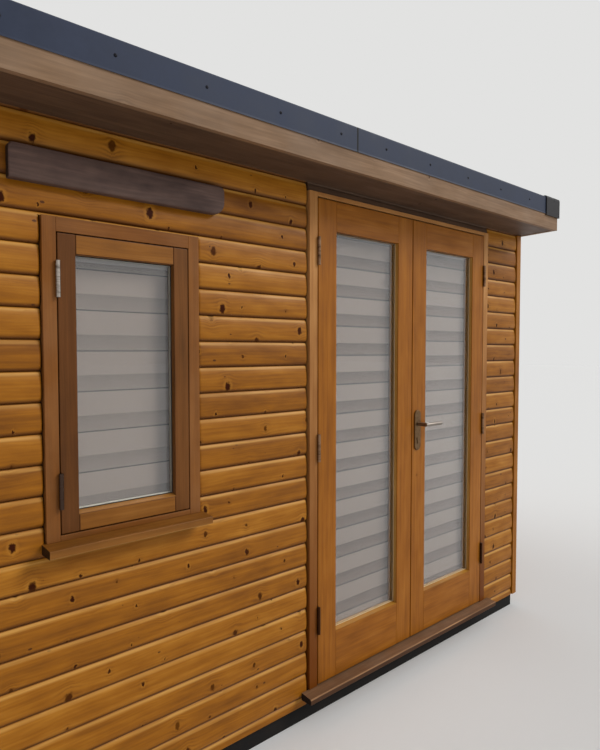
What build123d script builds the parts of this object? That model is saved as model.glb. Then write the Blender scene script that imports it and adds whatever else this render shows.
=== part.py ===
from build123d import *
from math import cos, pi, radians, sin, tan
import os

# Timber garden office pod: pent roof, one casement window, one pair of glazed doors.
# Millimetres. X runs along the front to the right, the front faces -Y, Z is up.
# The origin is under the middle of the roof's outline, at the level of the ground.

# Clearance of pieces that are seated but not glued
seat_gap = 0.3

# Walls
wall_width = 4100.0
wall_depth = 2800.0
panel_thickness = 70.0
cladding_thickness = 20.0
cladding_bottom = 73.0
board_cover = 89.6
first_groove = 106.4
groove_depth = 9.0
board_tuck = 11.0
board_face = 60.0
board_lean = 1.0
corner_trim_width = 40.0
corner_trim_proud = 3.0

# Base and floor
bearer_height = 79.0
bearer_width = 70.0
bearer_count = 5
deck_thickness = 22.0

# Roof
front_overhang = 202.0
rear_overhang = 60.0
roof_fall_angle = 1.4
soffit_over_door_frame = 37.0
soffit_thickness = 12.0
roof_panel_thickness = 128.0
membrane_thickness = 3.0
fascia_thickness = 20.0
fascia_lip = 2.0
fascia_show = 73.0
edge_trim_height = 93.0
edge_trim_wall = 2.5
edge_trim_width = 60.0
edge_trim_kick = 4.0
edge_trim_round = 6.0
edge_trim_round_steps = 3
edge_trim_length = 2500.0
edge_trim_gap = 2.0
corner_cover_length = 145.0
corner_cover_wall = 6.0

# Doors
leaf_width = 609.0
leaf_height = 1981.0
leaf_thickness = 44.0
leaf_bottom = 136.0
leaf_stile = 103.0
leaf_top_rail = 122.0
leaf_bottom_rail = 201.0
leaf_edge_bevel = 2.0
door_gap = 5.0
meeting_gap = 6.0
door_frame_face = 43.0
door_head_face = 18.0
door_stop = 15.0
frame_proud = 6.0
door_frame_to_corner = 358.0
threshold_rise = 6.0
threshold_fall = 6.0
threshold_nose = 50.0
threshold_nose_height = 23.0
threshold_horn = 38.0
nose_radius = 3.0

# Glazing in the doors and the window
glass_thickness = 4.0
glass_cavity = 6.0
glass_rebate = 12.0
glass_setback = 20.0
bead_fall = 8.0

# Door hinges
hinge_height = 112.0
hinge_radius = 6.5
hinge_pin_radius = 2.5
hinge_flap = 1.8
hinge_flap_depth = 30.0
hinge_knuckles = 3
hinge_knuckle_gap = 0.5
hinge_pin_clearance = 0.1
hinge_from_bottom = 268.0
hinge_middle = 978.0
hinge_from_top = 211.0

# Door furniture
handle_from_edge = 37.0
handle_level = 1023.0
plate_width = 44.0
plate_height = 192.0
plate_thickness = 7.0
plate_above_lever = 66.0
plate_bevel = 1.5
spindle_radius = 4.5
spindle_clearance = 0.1
spindle_bore_radius = 8.0
lever_radius = 9.0
grip_reach = 58.0
grip_length = 116.0
cylinder_width = 10.0
cylinder_radius = 8.5
cylinder_drop = 72.0
cylinder_tail = 22.0
cylinder_proud = 3.0

# Window
window_width = 515.0
window_height = 936.0
window_below_soffit = 287.0
window_to_door = 513.0
window_side_face = 40.0
window_top_face = 42.0
window_bottom_face = 17.0
window_gap = 3.0
casement_stile = 53.0
casement_top_rail = 57.0
casement_bottom_rail = 60.0
casement_thickness = 44.0
window_hinge_height = 105.0
window_hinge_from_bottom = 127.0
window_hinge_from_top = 132.0
window_stop = 12.0
sill_nose = 58.0
sill_nose_height = 24.0
sill_fall = 5.0
sill_horn = 12.0

# Blinds, and the board above the window
blind_overlap = 13.0
blind_standoff = 4.0
blind_fabric_depth = 12.0
blind_bar_height = 24.0
blind_bar_depth = 14.0
cassette_height = 52.0
cassette_depth = 40.0
cassette_overhang = 8.0
cassette_round = 14.0
door_cassette_rise = 14.0
window_cassette_drop = 13.0
blind_bar_bevel = 4.0
blind_below_glass = 22.0
sign_length = 702.0
sign_height = 98.0
sign_thickness = 26.0
sign_right_from_door_frame = 417.0
sign_below_soffit = 107.0
sign_top_radius = 17.0
sign_bottom_radius = 45.0
sign_bevel = 3.0

# Places that follow from the sizes above
leaf_top = leaf_bottom + leaf_height
door_head_bottom = leaf_top + door_gap
door_head_top = door_head_bottom + door_head_face
soffit_height = door_head_top + soffit_over_door_frame
roof_length_y = front_overhang + wall_depth + rear_overhang + 2 * corner_cover_wall
roof_front = -roof_length_y / 2 + corner_cover_wall
roof_back = roof_length_y / 2 - corner_cover_wall
roof_side = wall_width / 2 + fascia_thickness + edge_trim_wall
front_plane = roof_front + front_overhang
back_plane = front_plane + wall_depth
crest = front_plane + frame_proud
panel_front = crest + cladding_thickness
panel_inside = panel_front + panel_thickness
panel_back = back_plane - cladding_thickness
panel_side = wall_width / 2 - cladding_thickness
room_side = panel_side - panel_thickness
room_back = panel_back - panel_thickness
deck_top = bearer_height + deck_thickness
door_inside_width = 2 * leaf_width + meeting_gap + 2 * door_gap
door_frame_width = door_inside_width + 2 * door_frame_face
door_right = wall_width / 2 - door_frame_to_corner
door_left = door_right - door_frame_width
door_middle = (door_left + door_right) / 2
threshold_top = leaf_bottom - threshold_rise
window_right = door_left - window_to_door
window_left = window_right - window_width
window_top = soffit_height - window_below_soffit
window_bottom = window_top - window_height
sign_top = soffit_height - sign_below_soffit
glass_unit = 2 * glass_thickness + glass_cavity
fascia_front = roof_front + edge_trim_wall
fascia_back = roof_back - edge_trim_wall
fascia_side = roof_side - edge_trim_wall
fascia_bottom = soffit_height - fascia_lip
trim_bottom = fascia_bottom + fascia_show
trim_top = trim_bottom + edge_trim_height
skin_top = soffit_height + soffit_thickness + roof_panel_thickness + membrane_thickness
hinge_axis_y = front_plane - hinge_radius - hinge_knuckle_gap


def fall(y):
    """How far the roof has dropped at y, measured from the front fascia's back face."""
    return (y - fascia_front - fascia_thickness) * tan(radians(roof_fall_angle))


def block(x0, x1, y0, y1, z0, z1):
    """A square block between two corners."""
    middle = Pos((x0 + x1) / 2, (y0 + y1) / 2, (z0 + z1) / 2)
    return middle * Box(x1 - x0, y1 - y0, z1 - z0)


def side_prism(points, x0, x1):
    """An outline in Y and Z, run along X."""
    outline = Plane.YZ.offset(x0) * make_face(Polyline(*points, close=True))
    return extrude(outline, x1 - x0)


def plan_prism(points, z0, z1):
    """An outline in X and Y, run along Z."""
    outline = Plane.XY.offset(z0) * make_face(Polyline(*points, close=True))
    return extrude(outline, z1 - z0)


def sloped_slab(x0, x1, y0, y1, bottom, top):
    """A slab whose under side and top follow the roof's fall."""
    corners = [
        (y0, bottom - fall(y0)),
        (y1, bottom - fall(y1)),
        (y1, top - fall(y1)),
        (y0, top - fall(y0)),
    ]
    return side_prism(corners, x0, x1)


def wall_block(x0, x1, y0, y1, bottom):
    """A wall panel from a level bottom up to the roof panel."""
    under = soffit_height + soffit_thickness
    corners = [(y0, bottom), (y1, bottom), (y1, under - fall(y1)), (y0, under - fall(y0))]
    return side_prism(corners, x0, x1)


def base_bearers():
    """Black bearers along the pod, set back under the cladding."""
    pitch = (panel_back - panel_front - bearer_width) / (bearer_count - 1)
    bearers = []
    for index in range(bearer_count):
        y0 = panel_front + index * pitch
        bearers.append(block(-panel_side, panel_side, y0, y0 + bearer_width, 0, bearer_height))
    return Compound(children=bearers)


def floor_deck():
    return block(-panel_side, panel_side, panel_front, panel_back, bearer_height, deck_top)


def front_wall_left():
    """The panel left of the doors, with the window's hole."""
    panel = wall_block(-panel_side, door_left, panel_front, panel_inside, deck_top)
    hole = block(window_left, window_right, panel_front, panel_inside, window_bottom, window_top)
    return panel - hole


def front_wall_right():
    return wall_block(door_right, panel_side, panel_front, panel_inside, deck_top)


def front_wall_over_doors():
    return wall_block(door_left, door_right, panel_front, panel_inside, door_head_top)


def side_wall(side):
    x0, x1 = sorted((side * room_side, side * panel_side))
    return wall_block(x0, x1, panel_inside, room_back, deck_top)


def back_wall():
    return wall_block(-panel_side, panel_side, room_back, panel_back, deck_top)


def board_profile(top):
    """Log-lap boards in section, flat-faced with a rounded top: x is depth behind the crest, y height."""
    count = int((top - first_groove) / board_cover) + 2
    lowest = first_groove - board_cover
    edges = []
    for index in range(count):
        low = lowest + index * board_cover
        high = low + board_cover
        nose = (0, low + board_tuck)
        shoulder = (board_lean, low + board_face)
        lean = (board_lean, board_face - board_tuck)
        edges.append(Line((groove_depth, low), nose))
        edges.append(Line(nose, shoulder))
        edges.append(TangentArc(shoulder, (groove_depth, high), tangent=lean))
    edges.append(Line((groove_depth, high), (cladding_thickness, high)))
    edges.append(Line((cladding_thickness, high), (cladding_thickness, lowest)))
    edges.append(Line((cladding_thickness, lowest), (groove_depth, lowest)))
    return make_face(edges)


def cladding_run(length, top):
    """Boards with the crest on y = 0, facing -Y, centred on X."""
    profile = Plane.YZ.offset(-length / 2) * board_profile(top)
    return extrude(profile, length)


def front_cladding():
    """The front boards, cut round the window, the doors and their threshold and sill."""
    top = soffit_height - fall(crest)
    reach = wall_width / 2 - corner_trim_width
    boards = Pos(0, crest, 0) * cladding_run(2 * reach, top)
    keep = [
        (crest, cladding_bottom),
        (panel_front, cladding_bottom),
        (panel_front, soffit_height - fall(panel_front)),
        (crest, top),
    ]
    boards = boards & side_prism(keep, -reach, reach)
    boards -= block(window_left, window_right, crest, panel_front, window_bottom, window_top)
    boards -= block(door_left, door_right, crest, panel_front, cladding_bottom, door_head_top)
    return boards


def side_cladding(side):
    """The boards of one end, up to the sloping roof panel."""
    under = soffit_height + soffit_thickness
    y0 = crest + corner_trim_width
    y1 = back_plane - corner_trim_width
    boards = Rot(0, 0, side * 90) * cladding_run(y1 - y0, under)
    boards = Pos(side * wall_width / 2, (y0 + y1) / 2, 0) * boards
    x0, x1 = sorted((side * panel_side, side * wall_width / 2))
    return boards & wall_block(x0, x1, y0, y1, cladding_bottom)


def back_cladding():
    reach = wall_width / 2 - corner_trim_width
    top = soffit_height - fall(back_plane)
    boards = Pos(0, back_plane, 0) * Rot(0, 0, 180) * cladding_run(2 * reach, top)
    return boards & block(-reach, reach, panel_back, back_plane, cladding_bottom, top)


def corner_trims():
    """An angle on each corner that the boards butt against, standing a little proud."""
    trims = []
    outer = wall_width / 2 + corner_trim_proud
    inner = wall_width / 2 - corner_trim_width
    for side in (-1, 1):
        for y_out, y_panel, y_in in (
            (crest - corner_trim_proud, panel_front, crest + corner_trim_width),
            (back_plane + corner_trim_proud, panel_back, back_plane - corner_trim_width),
        ):
            plan = [
                (side * inner, y_out),
                (side * outer, y_out),
                (side * outer, y_in),
                (side * panel_side, y_in),
                (side * panel_side, y_panel),
                (side * inner, y_panel),
            ]
            trim_head = fascia_bottom - fall(max(y_out, y_in))
            trim = plan_prism(plan, cladding_bottom, trim_head)
            corner = trim.edges().filter_by(Axis.Z).sort_by(lambda edge: edge.center().X * side)[-2:]
            corner = corner.sort_by(lambda edge: abs(edge.center().Y - y_out))[0]
            trims.append(fillet(corner, corner_trim_proud))
    return Compound(children=trims)


def roof_panel():
    """Joists, deck and ceiling as one insulated panel between the fascias."""
    bottom = soffit_height + soffit_thickness
    inside = fascia_side - fascia_thickness
    y0 = fascia_front + fascia_thickness
    y1 = fascia_back - fascia_thickness
    return sloped_slab(-inside, inside, y0, y1, bottom, bottom + roof_panel_thickness)


def roof_membrane():
    """Rubber sheet over the deck, inside the edge trims' inner legs."""
    bottom = soffit_height + soffit_thickness + roof_panel_thickness
    inside = fascia_side - fascia_thickness
    y0 = fascia_front + fascia_thickness
    y1 = fascia_back - fascia_thickness
    return sloped_slab(-inside, inside, y0, y1, bottom, bottom + membrane_thickness)


def soffits():
    """Boards under the overhangs, from the fascia to the wall panel."""
    inside = fascia_side - fascia_thickness
    level = soffit_height
    top = level + soffit_thickness
    y0 = fascia_front + fascia_thickness
    front = sloped_slab(-inside, inside, y0, panel_front, level, top)
    y1 = fascia_back - fascia_thickness
    back = sloped_slab(-inside, inside, panel_back, y1, level, top)
    return Compound(children=[front, back])


def long_fascia(facing):
    """The front or back board, which covers the ends of the side boards."""
    outer = fascia_front if facing < 0 else fascia_back
    inner = outer - facing * fascia_thickness
    drop = fall(max(outer, inner))
    y0, y1 = sorted((outer, inner))
    top = trim_top - edge_trim_wall - drop
    return block(-fascia_side, fascia_side, y0, y1, fascia_bottom - drop, top)


def side_fascia(side):
    """A side board, nailed to the wall's face and following the fall."""
    x0, x1 = sorted((side * (fascia_side - fascia_thickness), side * fascia_side))
    y0 = fascia_front + fascia_thickness
    y1 = fascia_back - fascia_thickness
    return sloped_slab(x0, x1, y0, y1, fascia_bottom, trim_top - edge_trim_wall)


def cap_section(grow, inner_drop):
    """The edge trim in section: x is in from its outer face, y is up from its top."""
    wall = edge_trim_wall
    kick = edge_trim_kick
    foot = -edge_trim_height
    shoulder = []
    for step in range(edge_trim_round_steps + 1):
        turn = step * pi / 2 / edge_trim_round_steps
        reach = edge_trim_round + grow
        shoulder.append((edge_trim_round - reach * cos(turn), reach * sin(turn) - edge_trim_round))
    if grow > 0:
        return shoulder + [
            (edge_trim_width + grow, grow),
            (edge_trim_width + grow, -inner_drop),
            (0, -inner_drop),
            (0, foot - grow),
            (-grow, foot - grow),
        ]
    return shoulder + [
        (edge_trim_width, 0),
        (edge_trim_width, -inner_drop),
        (edge_trim_width - wall, -inner_drop),
        (edge_trim_width - wall, -wall),
        (wall, -wall),
        (wall, foot + kick),
        (0, foot),
        (-wall / 2, foot),
        (0, foot + kick + wall),
    ]


def long_cap(x0, x1, facing, grow=0.0):
    """A front (-1) or back (+1) length of trim section, level along X."""
    edge = roof_front if facing < 0 else roof_back
    top = trim_top if facing < 0 else trim_top - fall(fascia_back)
    inner_y = edge - facing * edge_trim_width
    inner_drop = top - (skin_top - min(fall(inner_y), fall(inner_y + facing * edge_trim_wall)))
    section = cap_section(grow, inner_drop - seat_gap)
    return side_prism([(edge - facing * x, top + y) for x, y in section], x0, x1)


def side_cap(side, grow=0.0):
    """A side length of trim section, falling with the roof."""
    y0 = roof_front - corner_cover_wall
    length = roof_back + corner_cover_wall - y0
    section = cap_section(grow, trim_top - skin_top - seat_gap)
    points = [(side * (roof_side - x), trim_top - fall(y0) + y) for x, y in section]
    outline = Plane.XZ.offset(-y0) * make_face(Polyline(*points, close=True))
    along = Vector(0, 1, -tan(radians(roof_fall_angle)))
    return extrude(outline, length * along.length, dir=along.normalized())


def mitre(facing):
    """The plan of what a front or back trim keeps at its two mitred ends."""
    edge = roof_front if facing < 0 else roof_back
    outer = roof_side + 2 * corner_cover_wall
    depth = edge_trim_width + 4 * corner_cover_wall
    y_out = edge + facing * 2 * corner_cover_wall
    plan = [
        (-outer, y_out),
        (outer, y_out),
        (outer - depth, y_out - facing * depth),
        (-outer + depth, y_out - facing * depth),
    ]
    return plan_prism(plan, soffit_height - 2 * edge_trim_height, trim_top + 2 * edge_trim_height)


def front_edge_trims():
    """The front trim in two lengths, with the butt joint left of the doors' middle."""
    joint = -roof_side + edge_trim_length
    left = long_cap(-roof_side, joint - edge_trim_gap / 2, -1) & mitre(-1)
    right = long_cap(joint + edge_trim_gap / 2, roof_side, -1) & mitre(-1)
    return left, right


def back_edge_trim():
    joint = roof_side - edge_trim_length
    left = long_cap(-roof_side, joint - edge_trim_gap / 2, 1) & mitre(1)
    right = long_cap(joint + edge_trim_gap / 2, roof_side, 1) & mitre(1)
    return Compound(children=[left, right])


def side_edge_trim(side):
    return side_cap(side) - mitre(-1) - mitre(1)


def edge_trim_corners():
    """Moulded covers that wrap the trims at the roof's four corners."""
    wrap = corner_cover_wall
    trim_drop = 2 * edge_trim_height
    covers = []
    for facing in (-1, 1):
        edge = roof_front if facing < 0 else roof_back
        for side in (-1, 1):
            outer = long_cap(-roof_side - wrap, roof_side + wrap, facing, wrap)
            outer = (outer & mitre(facing)) + (side_cap(side, wrap) - mitre(facing))
            x0, x1 = sorted((side * (roof_side + wrap), side * (roof_side - corner_cover_length)))
            y0, y1 = sorted((edge + facing * wrap, edge - facing * corner_cover_length))
            solid = outer & block(x0, x1, y0, y1, soffit_height - trim_drop, 2 * trim_top)
            x0, x1 = sorted((side * roof_side, side * (roof_side - 2 * corner_cover_length)))
            y0, y1 = sorted((edge, edge - facing * 2 * corner_cover_length))
            under = sloped_slab(x0, x1, y0, y1, soffit_height - trim_drop, trim_top)
            level_top = trim_top if facing < 0 else trim_top - fall(fascia_back)
            under += block(x0, x1, y0, y1, soffit_height - trim_drop, level_top)
            trims = long_cap(-roof_side, roof_side, facing) + side_cap(side)
            covers.append(solid - under - trims)
    return Compound(children=covers)


def bead_frame(x0, x1, z0, z1, y0, thickness, side_width, top_width, bottom_width):
    """Stiles and rails round a sight opening, grooved for the glass, the bottom bead sloping."""
    body = block(x0, x1, y0, y0 + thickness, z0, z1)
    sight = (x0 + side_width, x1 - side_width, z0 + bottom_width, z1 - top_width)
    body -= block(sight[0], sight[1], y0, y0 + thickness, sight[2], sight[3])
    groove = block(
        sight[0] - glass_rebate,
        sight[1] + glass_rebate,
        y0 + glass_setback,
        y0 + glass_setback + glass_unit,
        sight[2] - glass_rebate,
        sight[3] + glass_rebate,
    )
    bead = [(y0, sight[2] - bead_fall), (y0 + glass_setback, sight[2]), (y0, sight[2])]
    return body - groove - side_prism(bead, sight[0], sight[1])


def glass_panes(x0, x1, z0, z1, y0, side_width, top_width, bottom_width):
    """Two sheets seated on the faces of the groove."""
    panes = []
    for setback in (glass_setback, glass_setback + glass_thickness + glass_cavity):
        panes.append(
            block(
                x0 + side_width - glass_rebate,
                x1 - side_width + glass_rebate,
                y0 + setback,
                y0 + setback + glass_thickness,
                z0 + bottom_width - glass_rebate,
                z1 - top_width + glass_rebate,
            )
        )
    return Compound(children=panes)


def leaf_edges(side):
    """The hinge edge and the meeting edge of one leaf, in X."""
    hinge_edge = door_middle + side * (meeting_gap / 2 + leaf_width)
    meeting_edge = door_middle + side * meeting_gap / 2
    return hinge_edge, meeting_edge


def door_leaf(side):
    """One leaf, its meeting edge bevelled so that it clears the other leaf as it opens."""
    hinge_edge, meeting_edge = leaf_edges(side)
    x0, x1 = sorted((hinge_edge, meeting_edge))
    leaf = bead_frame(
        x0, x1, leaf_bottom, leaf_top, front_plane, leaf_thickness,
        leaf_stile, leaf_top_rail, leaf_bottom_rail,
    )
    wedge = [
        (meeting_edge, front_plane),
        (meeting_edge, front_plane + leaf_thickness),
        (meeting_edge + side * leaf_edge_bevel, front_plane + leaf_thickness),
    ]
    leaf -= plan_prism(wedge, leaf_bottom, leaf_top)
    if side > 0:
        x, z = handle_place()
        leaf -= along_y(x, z, front_plane, front_plane + leaf_thickness, spindle_bore_radius)
        leaf -= lock_shape(front_plane, front_plane + leaf_thickness, seat_gap)
    return leaf


def door_glass(side):
    x0, x1 = sorted(leaf_edges(side))
    return glass_panes(
        x0, x1, leaf_bottom, leaf_top, front_plane, leaf_stile, leaf_top_rail, leaf_bottom_rail,
    )


def door_frame():
    """Two jambs and a head with stops behind the leaves, standing on the threshold."""
    outline = block(door_left, door_right, front_plane, panel_inside, threshold_top, door_head_top)
    inner_left = door_left + door_frame_face
    inner_right = door_right - door_frame_face
    stop_front = front_plane + leaf_thickness + door_gap
    outline -= block(inner_left, inner_right, front_plane, stop_front, threshold_top, door_head_bottom)
    outline -= block(
        inner_left + door_stop,
        inner_right - door_stop,
        stop_front,
        panel_inside,
        threshold_top,
        door_head_bottom - door_stop,
    )
    return outline


def door_threshold():
    """Sloping sill with a nose, horns past the frame, and an upstand behind the leaves."""
    nose = front_plane - threshold_nose
    nose_top = threshold_top - threshold_fall
    nose_under = nose_top - threshold_nose_height
    section = [
        (nose, nose_top),
        (front_plane, threshold_top),
        (crest, threshold_top),
        (crest, nose_under),
        (nose, nose_under),
    ]
    sill = side_prism(section, door_left - threshold_horn, door_right + threshold_horn)
    sill += block(door_left, door_right, crest, panel_inside, deck_top, threshold_top)
    inner_left = door_left + door_frame_face + door_stop
    inner_right = door_right - door_frame_face - door_stop
    stop_front = front_plane + leaf_thickness + door_gap
    stop_top = threshold_top + door_stop
    sill += block(inner_left, inner_right, stop_front, panel_inside, threshold_top, stop_top)
    nose_edges = sill.edges().filter_by(Axis.X).sort_by(lambda edge: edge.center().Y)[:2]
    return fillet(nose_edges, nose_radius)


def along_y(x, z, y0, y1, radius):
    """A round bar along Y."""
    return Pos(x, (y0 + y1) / 2, z) * Rot(90, 0, 0) * Cylinder(radius, y1 - y0)


def hinge_parts(side, level):
    """One butt hinge: the frame's half with its pin, and the leaf's half with its bores."""
    hinge_edge = leaf_edges(side)[0]
    axis_x = hinge_edge + side * door_gap / 2
    pitch = hinge_height / hinge_knuckles
    bottom = leaf_bottom + level - hinge_height / 2
    pin = Cylinder(hinge_pin_radius, hinge_height - pitch)
    frame_half = Pos(axis_x, hinge_axis_y, bottom + hinge_height / 2) * pin
    frame_face = axis_x + side * door_gap / 2
    leaf_face = axis_x - side * door_gap / 2
    flap_back = front_plane + hinge_flap_depth
    fx0, fx1 = sorted((frame_face, frame_face - side * hinge_flap))
    lx0, lx1 = sorted((leaf_face, leaf_face + side * hinge_flap))
    frame_half += block(fx0, fx1, front_plane, flap_back, bottom, bottom + hinge_height)
    leaf_half = block(lx0, lx1, front_plane, flap_back, bottom, bottom + hinge_height)
    for index in range(hinge_knuckles):
        low = bottom + index * pitch + hinge_knuckle_gap / 2
        high = bottom + (index + 1) * pitch - hinge_knuckle_gap / 2
        barrel = Pos(axis_x, hinge_axis_y, (low + high) / 2) * Cylinder(hinge_radius, high - low)
        if index % 2 == 0:
            web = block(fx0, fx1, hinge_axis_y, front_plane, low, high)
            frame_half += barrel + web
        else:
            web = block(lx0, lx1, hinge_axis_y, front_plane, low, high)
            bore = Cylinder(hinge_pin_radius + hinge_pin_clearance, high - low)
            leaf_half += barrel + web - Pos(axis_x, hinge_axis_y, (low + high) / 2) * bore
    return frame_half, leaf_half


def hinges():
    """The frame's halves of all the hinges, and each leaf's own halves."""
    frame_halves = []
    leaf_halves = {-1: [], 1: []}
    for side in (-1, 1):
        for level in (hinge_from_bottom, hinge_middle, leaf_height - hinge_from_top):
            frame_half, leaf_half = hinge_parts(side, level)
            frame_halves.append(frame_half)
            leaf_halves[side].append(leaf_half)
    return Compound(children=frame_halves), leaf_halves


def handle_place():
    """The lever's pivot, on the right leaf's meeting stile."""
    return leaf_edges(1)[1] + handle_from_edge, leaf_bottom + handle_level


def lock_shape(y0, y1, grow):
    """A round-topped lock cylinder through the stile, below the lever."""
    x, z = handle_place()
    barrel = along_y(x, z - cylinder_drop, y0, y1, cylinder_radius + grow)
    half = cylinder_width / 2 + grow
    tail = z - cylinder_drop - cylinder_tail
    web = block(x - half, x + half, y0, y1, tail - grow, z - cylinder_drop)
    return barrel + web


def handle_plates():
    """A round-ended plate on each face, and the lock cylinder between them."""
    x, z = handle_place()
    middle = z + plate_above_lever - plate_height / 2
    shape = SlotOverall(plate_height, plate_width, rotation=90)
    back = front_plane + leaf_thickness
    plates = []
    for y0, y1 in ((front_plane - plate_thickness, front_plane), (back, back + plate_thickness)):
        plate = extrude(Plane.XZ.offset(-y1) * Pos(x, middle) * shape, plate_thickness)
        outer = y0 if y0 < front_plane else y1
        rim = plate.faces().filter_by(Axis.Y).sort_by(lambda face: abs(face.center().Y - outer))[0]
        plate = chamfer(rim.edges(), plate_bevel)
        plate -= along_y(x, z, y0, y1, spindle_radius + spindle_clearance)
        plate -= lock_shape(y0, y1, seat_gap)
        plates.append(plate)
    proud = plate_thickness + cylinder_proud
    lock = lock_shape(front_plane - proud, back + proud, 0)
    return Compound(children=plates + [lock])


def door_lever():
    """Levers on both faces of the leaf, on one spindle, each a round bar with a mitred bend."""
    x, z = handle_place()
    faces = (front_plane - plate_thickness, front_plane + leaf_thickness + plate_thickness)
    lever = along_y(x, z, faces[0] - lever_radius, faces[1] + lever_radius, spindle_radius)
    for face, turn in zip(faces, (-1, 1)):
        foot = face + turn * seat_gap
        grip_y = face + turn * (grip_reach - lever_radius)
        path = Polyline((x, foot, z), (x, grip_y, z), (x + grip_length, grip_y, z))
        start = Plane(origin=(x, foot, z), z_dir=(0, turn, 0))
        lever += sweep(start * Circle(lever_radius), path=path, transition=Transition.RIGHT)
    return lever


def window_frame():
    """The flat outer frame with a stop behind the casement."""
    back = panel_inside
    frame = block(window_left, window_right, front_plane, back, window_bottom, window_top)
    x0 = window_left + window_side_face
    x1 = window_right - window_side_face
    z0 = window_bottom + window_bottom_face
    z1 = window_top - window_top_face
    stop_front = front_plane + casement_thickness
    frame -= block(x0, x1, front_plane, stop_front, z0, z1)
    frame -= block(
        x0 + window_stop, x1 - window_stop, stop_front, back, z0 + window_stop, z1 - window_stop,
    )
    return frame


def casement_box():
    """The casement's outline: left, right, bottom and top."""
    x0 = window_left + window_side_face + window_gap
    x1 = window_right - window_side_face - window_gap
    z0 = window_bottom + window_bottom_face + window_gap
    z1 = window_top - window_top_face - window_gap
    return x0, x1, z0, z1


def window_casement():
    """A glazed casement, seated against the frame's stop."""
    x0, x1, z0, z1 = casement_box()
    return bead_frame(
        x0, x1, z0, z1, front_plane, casement_thickness,
        casement_stile, casement_top_rail, casement_bottom_rail,
    )


def window_glass():
    x0, x1, z0, z1 = casement_box()
    return glass_panes(
        x0, x1, z0, z1, front_plane, casement_stile, casement_top_rail, casement_bottom_rail,
    )


def window_hinges():
    """Two closed butt hinges in the gap at the casement's left edge."""
    x0, _, z0, z1 = casement_box()
    axis_x = x0 - window_gap / 2
    pieces = []
    flap_back = front_plane + hinge_flap_depth
    pitch = window_hinge_height / hinge_knuckles
    knuckle = Cylinder(hinge_radius, pitch - hinge_knuckle_gap)
    for level in (z0 + window_hinge_from_bottom, z1 - window_hinge_from_top):
        low = level - window_hinge_height / 2
        hinge = block(x0 - window_gap, x0, hinge_axis_y, flap_back, low, low + window_hinge_height)
        for index in range(hinge_knuckles):
            hinge += Pos(axis_x, hinge_axis_y, low + (index + 0.5) * pitch) * knuckle
        pieces.append(hinge)
    return Compound(children=pieces)


def window_sill():
    """A sloping sill with a nose and short horns, under the window's frame."""
    nose = front_plane - sill_nose
    top = window_bottom
    nose_top = top - sill_fall
    bottom = nose_top - sill_nose_height
    section = [(nose, nose_top), (front_plane, top), (crest, top), (crest, bottom), (nose, bottom)]
    sill = side_prism(section, window_left - sill_horn, window_right + sill_horn)
    nose_edges = sill.edges().filter_by(Axis.X).sort_by(lambda edge: edge.center().Y)[:2]
    return fillet(nose_edges, nose_radius)


def blind_parts(x0, x1, z0, z1, back, head_room):
    """A roller blind on the room side of one glazed frame: cassette and bar, then fabric."""
    left = x0 - blind_overlap
    right = x1 + blind_overlap
    cassette_bottom = z1 + head_room
    cassette = block(
        left - cassette_overhang,
        right + cassette_overhang,
        back,
        back + cassette_depth,
        cassette_bottom,
        cassette_bottom + cassette_height,
    )
    rim = cassette.edges().filter_by(Axis.X).group_by(Axis.Y)[-1]
    cassette = fillet(rim, cassette_round)
    fabric_front = back + blind_standoff
    fabric_bottom = z0 - blind_below_glass
    bar_top = fabric_bottom - seat_gap
    bar_middle = fabric_front + blind_fabric_depth / 2
    bar = block(
        left,
        right,
        bar_middle - blind_bar_depth / 2,
        bar_middle + blind_bar_depth / 2,
        bar_top - blind_bar_height,
        bar_top,
    )
    bar = chamfer(bar.edges().filter_by(Axis.X), blind_bar_bevel)
    fabric = block(
        left,
        right,
        fabric_front,
        fabric_front + blind_fabric_depth,
        fabric_bottom,
        cassette_bottom - seat_gap,
    )
    return Compound(children=[cassette, bar]), fabric


def door_blind(side):
    x0, x1 = sorted(leaf_edges(side))
    return blind_parts(
        x0 + leaf_stile,
        x1 - leaf_stile,
        leaf_bottom + leaf_bottom_rail,
        leaf_top - leaf_top_rail,
        front_plane + leaf_thickness,
        door_cassette_rise,
    )


def window_blind():
    x0, x1, z0, z1 = casement_box()
    return blind_parts(
        x0 + casement_stile,
        x1 - casement_stile,
        z0 + casement_bottom_rail,
        z1 - casement_top_rail,
        front_plane + casement_thickness,
        -window_cassette_drop,
    )


def sign_board():
    """A thick plank above the window, with rounded ends, bare."""
    right = door_left - sign_right_from_door_frame
    left = right - sign_length
    plank = block(left, right, crest - sign_thickness, crest, sign_top - sign_height, sign_top)
    plank = fillet(plank.edges().filter_by(Axis.Y).group_by(Axis.Z)[-1], sign_top_radius)
    low_right = plank.edges().filter_by(Axis.Y).group_by(Axis.Z)[0].sort_by(Axis.X)[-1]
    plank = fillet(low_right, sign_bottom_radius)
    face = plank.faces().filter_by(Axis.Y).sort_by(Axis.Y)[0]
    return chamfer(face.edges(), sign_bevel)


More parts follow.
